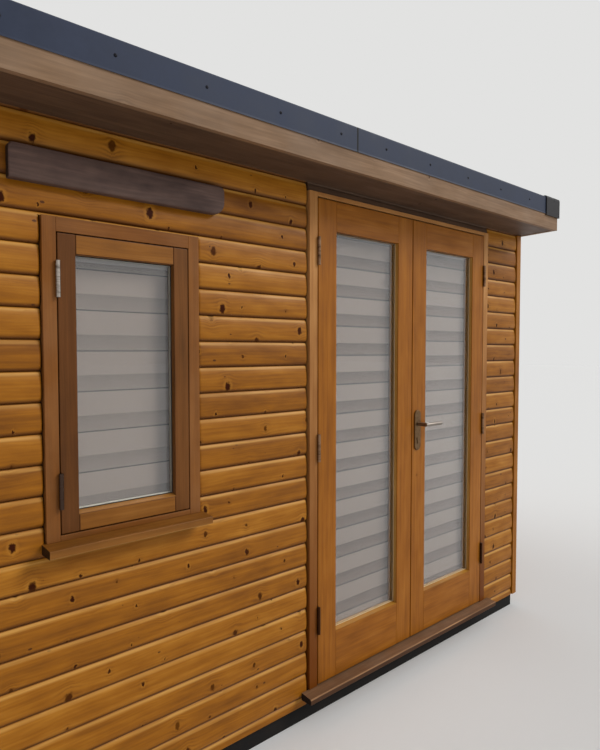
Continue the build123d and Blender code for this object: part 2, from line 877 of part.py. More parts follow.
def build_all():
    """Every piece of the pod by name."""
    frame_halves, leaf_halves = hinges()
    front_left_trim, front_right_trim = front_edge_trims()
    pieces = {
        "base_bearers": base_bearers(),
        "floor_deck": floor_deck(),
        "front_wall_left": front_wall_left(),
        "front_wall_right": front_wall_right(),
        "front_wall_over_doors": front_wall_over_doors(),
        "left_wall": side_wall(-1),
        "right_wall": side_wall(1),
        "back_wall": back_wall(),
        "front_cladding": front_cladding(),
        "left_cladding": side_cladding(-1),
        "right_cladding": side_cladding(1),
        "back_cladding": back_cladding(),
        "corner_trims": corner_trims(),
        "roof_panel": roof_panel(),
        "roof_membrane": roof_membrane(),
        "soffits": soffits(),
        "front_fascia": long_fascia(-1),
        "back_fascia": long_fascia(1),
        "left_fascia": side_fascia(-1),
        "right_fascia": side_fascia(1),
        "front_edge_trim_left": front_left_trim,
        "front_edge_trim_right": front_right_trim,
        "left_edge_trim": side_edge_trim(-1),
        "right_edge_trim": side_edge_trim(1),
        "back_edge_trim": back_edge_trim(),
        "edge_trim_corners": edge_trim_corners(),
        "window_frame": window_frame(),
        "window_casement": window_casement(),
        "window_glass": window_glass(),
        "window_hinges": window_hinges(),
        "window_sill": window_sill(),
        "door_frame": door_frame(),
        "door_threshold": door_threshold(),
        "frame_hinges": frame_halves,
        "handle_plates": handle_plates(),
        "door_lever": door_lever(),
        "sign_board": sign_board(),
    }
    window_cassette, window_fabric = window_blind()
    pieces["window_blind_cassette"] = window_cassette
    pieces["window_blind_fabric"] = window_fabric
    for name, side in (("left", -1), ("right", 1)):
        cassette, fabric = door_blind(side)
        pieces[name + "_leaf"] = door_leaf(side)
        pieces[name + "_glass"] = door_glass(side)
        pieces[name + "_leaf_hinges"] = Compound(children=leaf_halves[side])
        pieces[name + "_blind_cassette"] = cassette
        pieces[name + "_blind_fabric"] = fabric
    return pieces


os.makedirs("parts", exist_ok=True)
for node, shape in build_all().items():
    export_step(shape, "parts/" + node + ".step")
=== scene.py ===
from math import ceil, cos, floor, pi, radians, sin, sqrt

import bmesh
import bpy
from mathutils import Matrix, Vector, noise


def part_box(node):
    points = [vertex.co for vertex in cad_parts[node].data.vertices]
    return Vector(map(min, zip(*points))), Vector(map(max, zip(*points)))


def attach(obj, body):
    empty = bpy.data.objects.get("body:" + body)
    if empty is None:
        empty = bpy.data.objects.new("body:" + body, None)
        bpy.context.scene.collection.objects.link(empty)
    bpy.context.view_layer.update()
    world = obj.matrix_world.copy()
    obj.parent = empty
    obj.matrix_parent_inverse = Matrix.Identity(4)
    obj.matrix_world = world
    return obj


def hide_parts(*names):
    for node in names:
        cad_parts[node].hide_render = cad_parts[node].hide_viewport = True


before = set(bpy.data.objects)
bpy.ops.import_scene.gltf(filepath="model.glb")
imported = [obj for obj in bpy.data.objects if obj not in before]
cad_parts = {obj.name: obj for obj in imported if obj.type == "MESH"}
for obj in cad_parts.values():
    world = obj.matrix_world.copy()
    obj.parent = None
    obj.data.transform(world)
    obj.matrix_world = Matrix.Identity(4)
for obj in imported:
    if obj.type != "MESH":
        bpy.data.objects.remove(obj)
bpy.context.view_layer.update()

# Garden office pod: log-lap timber walls, pent roof, glazed doors and a casement window.
# Metres. X runs along the front to the right, the front faces -Y, Z is up.
# Everything rides on the building, apart from the two leaves, what they carry, and the lever.

building = "building"
onEdge = 0.001  # a vertex this near to the side of a box lies on it
hair = 1e-6  # slack for rounding
print("frame loaded,", len(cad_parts), "nodes")


# Helpers

# sRGB hex to the linear RGBA that the shaders take.
def colour(hexCode):
    parts = [int(hexCode[i:i + 2], 16) / 255 for i in (1, 3, 5)]
    linear = [c / 12.92 if c <= 0.04045 else ((c + 0.055) / 1.055) ** 2.4 for c in parts]
    return (*linear, 1.0)


# A node with its inputs set from values, hex colours, sockets, or the first output of other nodes.
# A kind without "Node" in it is a shader node.
def addNode(tree, kind, inputs=None, **settings):
    node = tree.nodes.new(kind if "Node" in kind else "ShaderNode" + kind)
    for key, value in settings.items():
        setattr(node, key, value)
    for key, value in (inputs or {}).items():
        if isinstance(value, str):
            value = colour(value)
        if isinstance(value, bpy.types.Node):
            value = value.outputs[2] if value.bl_idname == "ShaderNodeMix" else value.outputs[0]
        if isinstance(value, bpy.types.NodeSocket):
            tree.links.new(value, node.inputs[key])
        else:
            node.inputs[key].default_value = value
    return node


def newMaterial(name):
    material = bpy.data.materials.new(name)
    material.use_nodes = True
    material.node_tree.nodes.clear()
    return material, material.node_tree


def newObject(name, data):
    thing = bpy.data.objects.new(name, data)
    bpy.context.scene.collection.objects.link(thing)
    return thing


def meshFrom(shape, name, finishes):
    mesh = bpy.data.meshes.new(name)
    shape.to_mesh(mesh)
    shape.free()
    for material in finishes:
        mesh.materials.append(material)
    return mesh


def place(thing, body, slot, *nodes):
    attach(thing, body)
    if nodes:
        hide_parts(*nodes)
    return thing


def dress(material, *nodes):
    for node in nodes:
        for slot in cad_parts[node].material_slots:
            slot.material = material


# Timber

# The wood's figure: sizes in metres along, across and through the grain, then its detail.
figure = {
    "drift": ((0.45, 0.06, 0.12), 1.5),  # how the growth rings wander along a board
    "streak": ((0.36, 0.015, 0.03), 3.0),  # long bands of darker wood
    "fibre": ((0.08, 0.002, 0.007), 2.0),  # drawn 2 mm wide, coarser than real ones, so that they show
    "blotch": ((0.16, 0.05, 0.06), 3.0),  # stain that went on unevenly, in patches a hand wide
}


# Where a point lies on its board. Boards in rows each get their own stretch of timber and tone.
def boardSpace(tree, look):
    given = addNode(tree, "TexCoord").outputs
    where = given["Object"]
    position = addNode(tree, "SeparateXYZ", {0: where}).outputs
    facing = addNode(tree, "SeparateXYZ", {0: given["Normal"]}).outputs
    order = ["XYZ".index(axis) for axis in look["order"]]
    along, across, through = [position[i] for i in order]
    pitch = look.get("cover", look["knotPitch"])
    rows = addNode(
        tree, "Math", {0: across, 1: 1 / pitch, 2: -look["first"] / pitch}, operation="MULTIPLY_ADD",
    )
    if "cover" in look:
        row = addNode(tree, "Math", {0: rows}, operation="FLOOR")
        side = addNode(tree, "Math", {0: through}, operation="SIGN")
        number = addNode(tree, "Math", {0: side, 1: 41.0, 2: row}, operation="MULTIPLY_ADD")
        chance = addNode(tree, "TexWhiteNoise", {"W": number}, noise_dimensions="1D")
        shift = addNode(tree, "Math", {0: chance, 1: 7.3, 2: along}, operation="MULTIPLY_ADD")
        tone = addNode(tree, "SeparateColor", {0: chance.outputs["Color"]}).outputs[1]
    else:
        shift = along
        tone = addNode(tree, "TexNoise", {"Vector": where, "Scale": 1.9, "Detail": 1.0})
    return {
        "where": where, "position": position, "facing": [facing[i] for i in order], "across": across,
        "through": through, "pitch": pitch, "rows": rows, "shift": shift, "tone": tone,
    }


# Knots, at most one in each stretch of board, ragged in outline. The ratio is 1 at a knot's edge.
def knotField(tree, look, part):
    spots = addNode(tree, "Math", {0: part["shift"], 1: 1 / look["knotEvery"]}, operation="MULTIPLY")
    spots = addNode(tree, "CombineXYZ", {0: spots, 1: part["rows"]})
    knots = addNode(
        tree, "TexVoronoi", {"Vector": spots, "Scale": 1.0, "Randomness": 0.72}, voronoi_dimensions="2D",
    ).outputs
    odds = addNode(tree, "SeparateColor", {0: knots["Color"]}).outputs
    offset = addNode(tree, "VectorMath", {0: spots, 1: knots["Position"]}, operation="SUBTRACT")
    offset = addNode(
        tree, "VectorMath", {0: offset, 1: (look["knotEvery"], part["pitch"] * 0.66, 0.0)},
        operation="MULTIPLY",
    )
    size = look["knotSize"]
    warp = addNode(tree, "TexNoise", {
        "Vector": part["where"], "Scale": 95.0, "Detail": 4.0, "Roughness": 0.6,
    })
    pushed = addNode(
        tree, "VectorMath", {0: warp.outputs["Color"], 1: (0.5, 0.5, 0.5)}, operation="SUBTRACT",
    )
    pushed = addNode(
        tree, "VectorMath", {0: pushed, 1: (size * 1.5,) * 3, 2: offset}, operation="MULTIPLY_ADD",
    )
    pushed = addNode(tree, "VectorMath", {0: pushed, 1: (1.0, 1.0, 0.0)}, operation="MULTIPLY")
    distance = addNode(tree, "VectorMath", {0: pushed}, operation="LENGTH").outputs["Value"]
    radius = addNode(tree, "Math", {0: odds[0], 1: 2.0}, operation="POWER")
    radius = addNode(tree, "Math", {0: radius, 1: size, 2: size * 0.35}, operation="MULTIPLY_ADD")
    ratio = addNode(tree, "Math", {0: distance, 1: radius}, operation="DIVIDE")
    # a stretch that drew no knot is far from any
    clear = addNode(tree, "Math", {0: odds[1], 1: look["knotShare"]}, operation="GREATER_THAN")
    ratio = addNode(tree, "Math", {0: clear, 1: 100.0, 2: ratio}, operation="MULTIPLY_ADD")
    return {
        "odds": odds, "offset": offset, "ratio": ratio,
        "ragged": addNode(tree, "Math", {0: warp, 1: 0.8, 2: 0.6}, operation="MULTIPLY_ADD"),
        "core": addNode(
            tree, "MapRange", {0: ratio, 1: 0.55, 2: 1.15, 3: 1.0, 4: 0.0}, interpolation_type="SMOOTHSTEP",
        ),
        "halo": addNode(tree, "MapRange", {0: ratio, 1: 0.9, 2: 4.0, 3: 0.4, 4: 0.0}),
        "pith": addNode(tree, "MapRange", {0: ratio, 1: 1.1, 2: 1.9, 3: 1.0, 4: 0.0}),
    }


# Grain lines that run past the knots, and growth rings about 10 mm apart where the face cuts them.
def grainField(tree, look, part):
    bend = addNode(tree, "Math", {0: part["ratio"], 1: 2.0}, operation="POWER")
    bend = addNode(tree, "Math", {0: bend, 1: 0.55, 2: 0.45}, operation="MULTIPLY_ADD")
    aside = addNode(tree, "SeparateXYZ", {0: part["offset"]}).outputs[1]
    bend = addNode(tree, "Math", {0: aside, 1: bend}, operation="DIVIDE")
    line = addNode(tree, "Math", {0: part["across"], 1: bend}, operation="SUBTRACT")
    grain = addNode(tree, "CombineXYZ", {0: part["shift"], 1: line, 2: part["through"]})
    fields = {"grain": grain}
    for key, (size, detail) in figure.items():
        scale = tuple(1 / s for s in size)
        at = addNode(tree, "VectorMath", {0: grain, 1: scale}, operation="MULTIPLY")
        fields[key] = addNode(tree, "TexNoise", {"Vector": at, "Scale": 1.0, "Detail": detail})
    phase = addNode(tree, "Math", {0: line, 1: pi / look["ring"]}, operation="MULTIPLY")
    phase = addNode(tree, "Math", {0: fields["drift"], 1: 17.0, 2: phase}, operation="MULTIPLY_ADD")
    ring = addNode(tree, "Math", {0: phase}, operation="SINE")
    ring = addNode(tree, "Math", {0: ring}, operation="ABSOLUTE")
    fields["ring"] = addNode(tree, "Math", {0: ring, 1: 2.5}, operation="POWER")
    return fields


# How much of each tint lies over the middle tone of the stain: boards, rings, fibres and knots.
def stainShares(tree, look, part):
    reach = look["toneShow"]
    shade = addNode(tree, "MapRange", {0: part["tone"], 1: 0.0, 2: 1.0, 3: -reach, 4: reach})
    for key in ("streak", "blotch"):
        show = look[key + "Show"]
        shade = addNode(tree, "Math", {0: part[key], 1: show, 2: shade}, operation="MULTIPLY_ADD")
    middle = (look["streakShow"] + look["blotchShow"]) / 2
    light = addNode(tree, "MapRange", {0: shade, 1: middle - 0.3, 2: middle, 3: 1.0, 4: 0.0})
    dark = addNode(tree, "MapRange", {0: shade, 1: middle, 2: middle + 0.3})
    swirl = addNode(tree, "Math", {0: part["halo"], 1: 1.2, 2: look["ringShow"]}, operation="MULTIPLY_ADD")
    ringed = addNode(tree, "Math", {0: part["ring"], 1: swirl}, operation="MULTIPLY")
    fibred = addNode(tree, "MapRange", {0: part["fibre"], 1: 0.45, 2: 0.75, 3: 0.0, 4: look["fibreShow"]})
    lit = addNode(tree, "MapRange", {0: part["odds"][2], 1: 0.2, 2: 1.0, 3: 0.0, 4: 0.55})
    lit = addNode(tree, "Math", {0: part["pith"], 1: lit}, operation="MULTIPLY")
    depth = addNode(tree, "MapRange", {0: part["odds"][2], 1: 0.0, 2: 0.5, 3: 0.7, 4: 0.97})
    depth = addNode(tree, "Math", {0: part["core"], 1: depth}, operation="MULTIPLY")
    pale, deep, knot = look["pale"], look["deep"], look["knot"]
    return [(light, pale), (dark, deep), (ringed, deep), (fibred, deep), (lit, pale), (depth, knot)]


# Pin knots, a few millimetres across.
def pinKnots(tree, look, part):
    scale = (1 / look["pins"], 1.8 / look["pins"], 0.0)
    at = addNode(tree, "VectorMath", {0: part["grain"], 1: scale}, operation="MULTIPLY")
    pins = addNode(tree, "TexVoronoi", {"Vector": at, "Scale": 1.0}, voronoi_dimensions="2D").outputs
    odds = addNode(tree, "SeparateColor", {0: pins["Color"]}).outputs
    size = addNode(tree, "MapRange", {0: odds[0], 1: 0.7, 2: 1.0, 3: 0.0, 4: 0.05})
    reach = addNode(tree, "Math", {0: pins["Distance"], 1: part["ragged"]}, operation="MULTIPLY")
    pin = addNode(tree, "Math", {0: reach, 1: size}, operation="LESS_THAN")
    return addNode(tree, "Math", {0: pin, 1: 0.75}, operation="MULTIPLY"), look["knot"]


# Painted shade, with some dirt, darkening each board toward the grooves where two boards meet.
def paintedGrooveShade(tree, look, part):
    level = addNode(tree, "Math", {0: part["rows"]}, operation="FRACT")
    lower = addNode(
        tree, "MapRange", {0: level, 1: 0.015, 2: look["grooveShadeReach"], 3: look["grooveShadeAndDirt"], 4: 0.0},
        interpolation_type="SMOOTHSTEP",
    )
    upper = addNode(tree, "MapRange", {0: level, 1: 0.975, 2: 0.995, 3: 0.0, 4: look["grooveShadeAndDirt"]})
    return addNode(tree, "Math", {0: lower, 1: upper}, operation="MAXIMUM"), look["groove"]


# A painted highlight along the top arris of each board, in patches.
def paintedRimHighlight(tree, look, part):
    share, tint = look["rim"]
    level = addNode(tree, "Math", {0: part["rows"]}, operation="FRACT")
    below = addNode(tree, "MapRange", {0: level, 1: 0.82, 2: 0.90})
    above = addNode(tree, "MapRange", {0: level, 1: 0.95, 2: 0.975, 3: 1.0, 4: 0.0})
    rim = addNode(tree, "Math", {0: below, 1: above}, operation="MULTIPLY")
    patch = addNode(tree, "MapRange", {0: part["streak"], 1: 0.42, 2: 0.58, 3: 0.35, 4: share})
    return addNode(tree, "Math", {0: rim, 1: patch}, operation="MULTIPLY"), tint


# Silvered clouds, where the stain has gone.
def weathering(tree, look, part):
    cloud = addNode(tree, "TexNoise", {"Vector": part["where"], "Scale": 5.0, "Detail": 5.0})
    return addNode(tree, "MapRange", {0: cloud, 1: 0.42, 2: 0.68, 3: 0.0, 4: look["weather"]}), look["grey"]


# Painted shade, darker toward the ground.
def paintedLowShade(tree, look, part):
    low, high, share, tint = look["lowShade"]
    return addNode(tree, "MapRange", {0: part["position"][2], 1: low, 2: high, 3: share, 4: 0.0}), tint


def faceShare(tree, part, axis):
    turned = addNode(tree, "Math", {0: part["facing"][axis]}, operation="ABSOLUTE")
    return addNode(tree, "MapRange", {0: turned, 1: 0.75, 2: 0.95})


# Painted shade on the faces that look along Y, such as the front face.
def paintedFrontShade(tree, look, part):
    return faceShare(tree, part, 1), look["front"]


# End grain, which drank more stain.
def darkEnds(tree, look, part):
    return faceShare(tree, part, 0), look["ends"]


# A painted highlight along one arris along X, in patches.
def paintedArrisHighlight(tree, look, part):
    edge, reach, tint = look["worn"]
    away = addNode(tree, "VectorMath", {0: part["where"], 1: edge}, operation="SUBTRACT")
    away = addNode(tree, "VectorMath", {0: away, 1: (0.0, 1.0, 1.0)}, operation="MULTIPLY")
    away = addNode(tree, "VectorMath", {0: away}, operation="LENGTH").outputs["Value"]
    rubbed = addNode(tree, "MapRange", {0: away, 1: reach * 0.6, 2: reach, 3: 1.0, 4: 0.0})
    patch = addNode(tree, "MapRange", {0: part["streak"], 1: 0.38, 2: 0.6, 3: 0.2, 4: 1.0})
    return addNode(tree, "Math", {0: rubbed, 1: patch}, operation="MULTIPLY"), tint


# Painted shade: the outsides of the wall panels are near black, so the gaps beside the boards read dark.
def paintedGapShade(tree, look, part):
    middle, half, tint = look["shell"]
    reach = addNode(tree, "VectorMath", {0: part["where"], 1: middle}, operation="SUBTRACT")
    reach = addNode(tree, "VectorMath", {0: reach}, operation="ABSOLUTE")
    reach = addNode(tree, "VectorMath", {0: reach, 1: half}, operation="SUBTRACT")
    sides = addNode(tree, "SeparateXYZ", {0: reach}).outputs
    outside = addNode(tree, "Math", {0: sides[0], 1: sides[1]}, operation="MAXIMUM")
    return addNode(tree, "Math", {0: outside, 1: 0.0}, operation="GREATER_THAN"), tint


# What may lie over the stain, painted light and shade among it, from the first layer to the last.
layers = {
    "pins": pinKnots, "grooveShadeAndDirt": paintedGrooveShade, "rim": paintedRimHighlight, "weather": weathering, "lowShade": paintedLowShade,
    "front": paintedFrontShade, "ends": darkEnds, "worn": paintedArrisHighlight, "shell": paintedGapShade,
}


# Stained softwood: fibres and growth rings that part round knots, blotches and board tones.
def timber(name, look):
    material, tree = newMaterial(name)
    part = boardSpace(tree, look)
    part |= knotField(tree, look, part)
    part |= grainField(tree, look, part)
    shares = stainShares(tree, look, part)
    shares += [layer(tree, look, part) for key, layer in layers.items() if key in look]
    base = look["mid"]
    for share, tint in shares:
        base = addNode(tree, "Mix", {0: share, 6: base, 7: tint}, data_type="RGBA")

    height = addNode(tree, "Math", {0: part["ring"], 1: 0.5, 2: part["fibre"]}, operation="MULTIPLY_ADD")
    height = addNode(tree, "Math", {0: part["core"], 1: -0.8, 2: height}, operation="MULTIPLY_ADD")
    bump = addNode(tree, "Bump", {"Strength": look["relief"], "Distance": 0.0006, "Height": height})
    rough = addNode(tree, "MapRange", {
        0: part["blotch"], 1: 0.3, 2: 0.7, 3: look["rough"] - 0.06, 4: look["rough"] + 0.08,
    })
    shine = addNode(tree, "MapRange", {0: part["core"], 1: 0.0, 2: 1.0, 3: look["shine"], 4: 0.05})
    shader = addNode(tree, "BsdfPrincipled", {
        "Base Color": base, "Roughness": rough, "Normal": bump, "Specular IOR Level": shine,
    })
    addNode(tree, "OutputMaterial", {0: shader})
    return material


stain = {
    "relief": 0.25, "rough": 0.46, "shine": 0.18, "toneShow": 0.14, "blotchShow": 0.4, "streakShow": 0.5,
    # groove is the tint of the painted shade and dirt toward each groove
    "groove": "#4C280B", "grooveShadeReach": 0.08, "knotPitch": 0.09, "first": 0.0,
}
pine = {
    **stain, "pale": "#B97B24", "mid": "#9B5F0E", "deep": "#703F06", "knot": "#300B02", "blotchShow": 0.55,
    "knotEvery": 0.21, "knotSize": 0.0105, "knotShare": 0.85, "ring": 0.0105, "ringShow": 0.16,
    "fibreShow": 0.14, "pins": 0.15,
}
logLap = {
    **pine, "cover": 0.0896, "first": 0.1064, "grooveShadeAndDirt": 0.9, "grooveShadeReach": 0.16, "ends": "#54300D",
    # a painted highlight along each board's top arris
    "rim": (0.8, "#D0994A"),
}
joinery = {
    **stain, "pale": "#B37224", "mid": "#995B10", "deep": "#703D07", "knot": "#4A2409", "rough": 0.42,
    "knotEvery": 0.7, "knotPitch": 0.35, "knotSize": 0.006, "knotShare": 0.1, "ring": 0.009,
    "ringShow": 0.12, "fibreShow": 0.14, "toneShow": 0.12, "ends": "#55331A",
}
jambLook = {
    **joinery, "pale": "#D09C66", "mid": "#B68049", "deep": "#8C592D", "knotShare": 0.0, "shine": 0.1,
    # painted shade, darker toward the ground
    "lowShade": (0.25, 1.8, 0.95, "#693300"),
}
beadLook = {**joinery, "pale": "#BE8836", "mid": "#A87226", "deep": "#825418"}
sideBeadLook = {**joinery, "pale": "#C69654", "mid": "#B9843E", "deep": "#956528"}
windowLook = {
    **joinery, "pale": "#97602A", "mid": "#7E4B1B", "deep": "#5B3510", "shine": 0.15, "weather": 0.3,
    "grey": "#966A44",
}
casementStile = {**joinery, "pale": "#754620", "mid": "#603814", "deep": "#43250C", "shine": 0.15}
closingStile = {**casementStile, "pale": "#815025", "mid": "#6D421A", "deep": "#4D2E0F"}
casementRail = {**joinery, "pale": "#A36C2C", "mid": "#8A561B", "deep": "#663B10"}
sashBeadLook = {**casementRail, "pale": "#B0783A", "mid": "#9A672C", "deep": "#754B1C"}
sillLook = {
    **joinery, "pale": "#A0692A", "mid": "#80501B", "deep": "#5D3710", "ends": "#24160C",
    # a painted highlight along the bottom front arris
    "worn": (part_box("window_sill")[0], 0.0035, "#C79A58"),
}
fasciaLook = {
    **stain, "pale": "#A07F60", "mid": "#85674B", "deep": "#644B35", "knot": "#3A271B", "rough": 0.62,
    "shine": 0.2, "knotEvery": 0.36, "knotPitch": 0.08, "knotSize": 0.008, "knotShare": 0.4, "ring": 0.012,
    "ringShow": 0.2, "fibreShow": 0.25, "weather": 0.22, "grey": "#8E7C6C", "ends": "#4A3B30",
}
soffitLook = {
    **stain, "pale": "#6E5442", "mid": "#5A4434", "deep": "#423024", "knot": "#251810", "rough": 0.55,
    "knotEvery": 0.4, "knotPitch": 0.1, "knotSize": 0.008, "knotShare": 0.3, "ring": 0.012,
    "ringShow": 0.2, "fibreShow": 0.2,
}
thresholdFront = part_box("door_threshold")[0].y
thresholdEdge = max(
    v.co.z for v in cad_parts["door_threshold"].data.vertices if v.co.y < thresholdFront + onEdge
)
thresholdLook = {
    **stain, "pale": "#9C7452", "mid": "#7F5A3B", "deep": "#5A3E28", "knot": "#3C2C22", "rough": 0.7,
    "shine": 0.2, "relief": 0.6, "knotEvery": 0.7, "knotPitch": 0.2, "knotSize": 0.007, "knotShare": 0.1,
    "ring": 0.006, "ringShow": 0.3, "fibreShow": 0.4, "weather": 0.2, "grey": "#948473",
    # front is painted shade on the front face, worn a painted highlight on the top front arris
    "ends": "#1F130D", "front": "#4A2F1C", "worn": ((0.0, thresholdFront, thresholdEdge), 0.0045, "#A97F58"),
}
signLook = {
    **stain, "pale": "#705549", "mid": "#553F37", "deep": "#382823", "knot": "#1B1411", "rough": 0.6,
    "shine": 0.25, "relief": 0.8, "knotEvery": 0.9, "knotPitch": 0.3, "knotSize": 0.008, "knotShare": 0.2,
    "ring": 0.014, "ringShow": 0.3, "fibreShow": 0.4, "blotchShow": 0.9, "weather": 0.28,
    "grey": "#7A6052", "ends": "#211713",
}
floorLook = {
    **stain, "pale": "#B48A5A", "mid": "#9C7247", "deep": "#7C5531", "knot": "#4A2E19",
    "knotEvery": 0.5, "knotSize": 0.007, "knotShare": 0.3, "ring": 0.01, "ringShow": 0.3, "fibreShow": 0.2,
    "cover": 0.12, "grooveShadeAndDirt": 0.6,
}
panelLow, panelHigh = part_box("front_wall_left")[0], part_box("back_wall")[1]
shellMiddle, shellReach = (panelLow + panelHigh) / 2, (panelHigh - panelLow) / 2
shellSkin = 0.001
liningLook = {
    **stain, "pale": "#C9AB80", "mid": "#B6956A", "deep": "#97774F", "knot": "#5A3B22",
    "knotEvery": 0.4, "knotSize": 0.008, "knotShare": 0.4, "ring": 0.01, "ringShow": 0.25,
    "fibreShow": 0.15, "cover": 0.095, "grooveShadeAndDirt": 0.5, "groove": "#6B5134",
    # painted shade: the outsides of the panels near black
    "shell": (
        (*shellMiddle.xy, 0.0), (shellReach.x - shellSkin, shellReach.y - shellSkin, 0.0), "#17130F",
    ),
}

# The order gives the axes that run along, across and through the grain.
boardsAlongFront = timber("stainedLogLapFront", {**logLap, "order": "XZY"})  # honey pine, dark knots
boardsAlongSide = timber("stainedLogLapSide", {**logLap, "order": "YZX"})
cornerTimber = timber("stainedCornerPine", {**pine, "order": "ZXY", "knotShare": 0.2, "ends": "#5A3517"})
doorUpright = timber("stainedDoorStile", {**joinery, "order": "ZXY"})  # planed, calmer than the boards
doorCross = timber("stainedDoorRail", {**joinery, "order": "XZY"})
beadTimber = timber("paleGlazingBead", {**beadLook, "order": "XZY"})  # painted light: paler than the stiles, for the light the bead catches below the glass
sideBeadPaintedLight = timber("paintedLightSideBead", {**sideBeadLook, "order": "ZXY"})  # painted light: paler than the stiles, so the reveals beside the glass read tan out of their shade
sashBead = timber("goldenSashBead", {**sashBeadLook, "order": "XZY"})
jambUpright = timber("stainedDoorJamb", {**jambLook, "order": "ZXY"})  # pinkish tan, with painted shade making it red brown at its foot
jambCross = timber("stainedDoorHead", {**jambLook, "order": "XZY"})
windowUpright = timber("stainedWindowJamb", {**windowLook, "order": "ZXY"})  # a shade darker than the doors
windowCross = timber("stainedWindowHead", {**windowLook, "order": "XZY"})
casementUpright = timber("stainedCasementStile", {**casementStile, "order": "ZXY"})  # red brown
closingUpright = timber("stainedClosingStile", {**closingStile, "order": "ZXY"})  # a shade lighter
casementCross = timber("stainedCasementRail", {**casementRail, "order": "XZY"})  # golden beside the stiles
paintedShadeOverDoors = timber("paintedShadeBoardOverDoors", {**soffitLook, "order": "XZY"})  # painted shade: umber like the soffit, for the shade between door head and soffit
sillTimber = timber("stainedSill", {**sillLook, "order": "XYZ"})  # nearly black ends, one arris rubbed pale
thresholdTimber = timber("weatheredThreshold", {**thresholdLook, "order": "XYZ"})  # trodden to a dull brown
fasciaAlongFront = timber("weatheredFasciaFront", {**fasciaLook, "order": "XZY"})  # faded beige brown
fasciaAlongSide = timber("weatheredFasciaSide", {**fasciaLook, "order": "YZX"})
soffitTimber = timber("darkStainedSoffit", {**soffitLook, "order": "XYZ"})  # umber, in shade under the eaves
signTimber = timber("charredPlank", {**signLook, "order": "XZY"})  # burnt, rubbed paler in patches
floorTimber = timber("lacqueredFloorBoards", {**floorLook, "order": "XYZ"})  # light brown, a soft shine
liningTimber = timber("oiledLiningBoards", {**liningLook, "order": "XZY"})  # pale, dark lines between boards
liningAlongSide = timber("oiledLiningBoardsSide", {**liningLook, "order": "YZX"})
print("timber made")


# Other finishes

# Powder coat, moulding or rubber: an even colour, faint orange peel, and dust in clouds.
def coatedSheet(name, look):
    material, tree = newMaterial(name)
    where = addNode(tree, "TexCoord").outputs["Object"]
    dust = addNode(tree, "TexNoise", {"Vector": where, "Scale": 7.0, "Detail": 6.0, "Roughness": 0.65})
    peel = addNode(tree, "TexNoise", {"Vector": where, "Scale": look.get("peel", 700.0), "Detail": 1.0})
    dusty = addNode(tree, "MapRange", {0: dust, 1: 0.42, 2: 0.75, 3: 0.0, 4: look["dusty"]})
    base = addNode(tree, "Mix", {0: dusty, 6: look["base"], 7: look["dust"]}, data_type="RGBA")
    if "joint" in look:  # dark sealant where two lengths meet
        middle, half, tint = look["joint"]
        along = addNode(tree, "SeparateXYZ", {0: where})
        sealed = addNode(tree, "Math", {0: along, 1: middle, 2: half}, operation="COMPARE")
        base = addNode(tree, "Mix", {0: sealed, 6: base, 7: tint}, data_type="RGBA")
    rough = addNode(tree, "MapRange", {0: dust, 1: 0.3, 2: 0.7, 3: look["rough"], 4: look["rough"] + 0.16})
    bump = addNode(tree, "Bump", {"Strength": 0.12, "Distance": 0.0003, "Height": peel})
    shader = addNode(tree, "BsdfPrincipled", {
        "Base Color": base, "Roughness": rough, "Normal": bump, "Specular IOR Level": look.get("shine", 0.5),
    })
    addNode(tree, "OutputMaterial", {0: shader})
    return material


trimLook = {"base": "#252D40", "dust": "#40475A", "dusty": 0.45, "rough": 0.48, "shine": 0.2}
jointMiddle = (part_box("front_edge_trim_left")[1].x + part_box("front_edge_trim_right")[0].x) / 2
sealedTrimLook = {**trimLook, "joint": (jointMiddle, 0.0045, "#0B0B0D")}
cornerLook = {"base": "#19181B", "dust": "#2E2A2B", "dusty": 0.35, "rough": 0.45, "shine": 0.2}
rubberLook = {
    "base": "#26272A", "dust": "#56544F", "dusty": 0.8, "rough": 0.75, "shine": 0.25, "peel": 300.0,
}
bearerLook = {
    "base": "#141211", "dust": "#2A241F", "dusty": 0.6, "rough": 0.75, "shine": 0.2, "peel": 250.0,
}
blindPlasticLook = {"base": "#B9B5B0", "dust": "#A9A49E", "dusty": 0.3, "rough": 0.35}
sealLook = {"base": "#17171A", "dust": "#2C2C2E", "dusty": 0.2, "rough": 0.6}
tanSealLook = {"base": "#DCC39A", "dust": "#C0A67C", "dusty": 0.2, "rough": 0.6}
tanSpacerLook = {"base": "#A07F55", "dust": "#8A6A42", "dusty": 0.2, "rough": 0.5}
spacerLook = {"base": "#C6C1B2", "dust": "#B0AA99", "dusty": 0.2, "rough": 0.4}

trimFinish = coatedSheet("anthracitePowderCoat", trimLook)  # blue grey and matt
frontTrimFinish = coatedSheet("sealedPowderCoat", sealedTrimLook)  # the same, with a black joint
cornerFinish = coatedSheet("mouldedCornerPlastic", cornerLook)  # near black beside the trim
rubberFinish = coatedSheet("roofRubber", rubberLook)  # dull black under dust
bearerFinish = coatedSheet("blackStainedBearer", bearerLook)  # a black line under the boards
blindPlastic = coatedSheet("paleBlindPlastic", blindPlasticLook)  # warm grey, a soft shine
sealFinish = coatedSheet("blackGlazingSeal", sealLook)  # a dark line round the window's glass
tanSeal = coatedSheet("tanGlazingSeal", tanSealLook)  # a pale line beside the doors' glass
tanSpacer = coatedSheet("brownSpacerBar", tanSpacerLook)
spacerFinish = coatedSheet("paleSpacerBar", spacerLook)  # a pale edge inside the window's glass


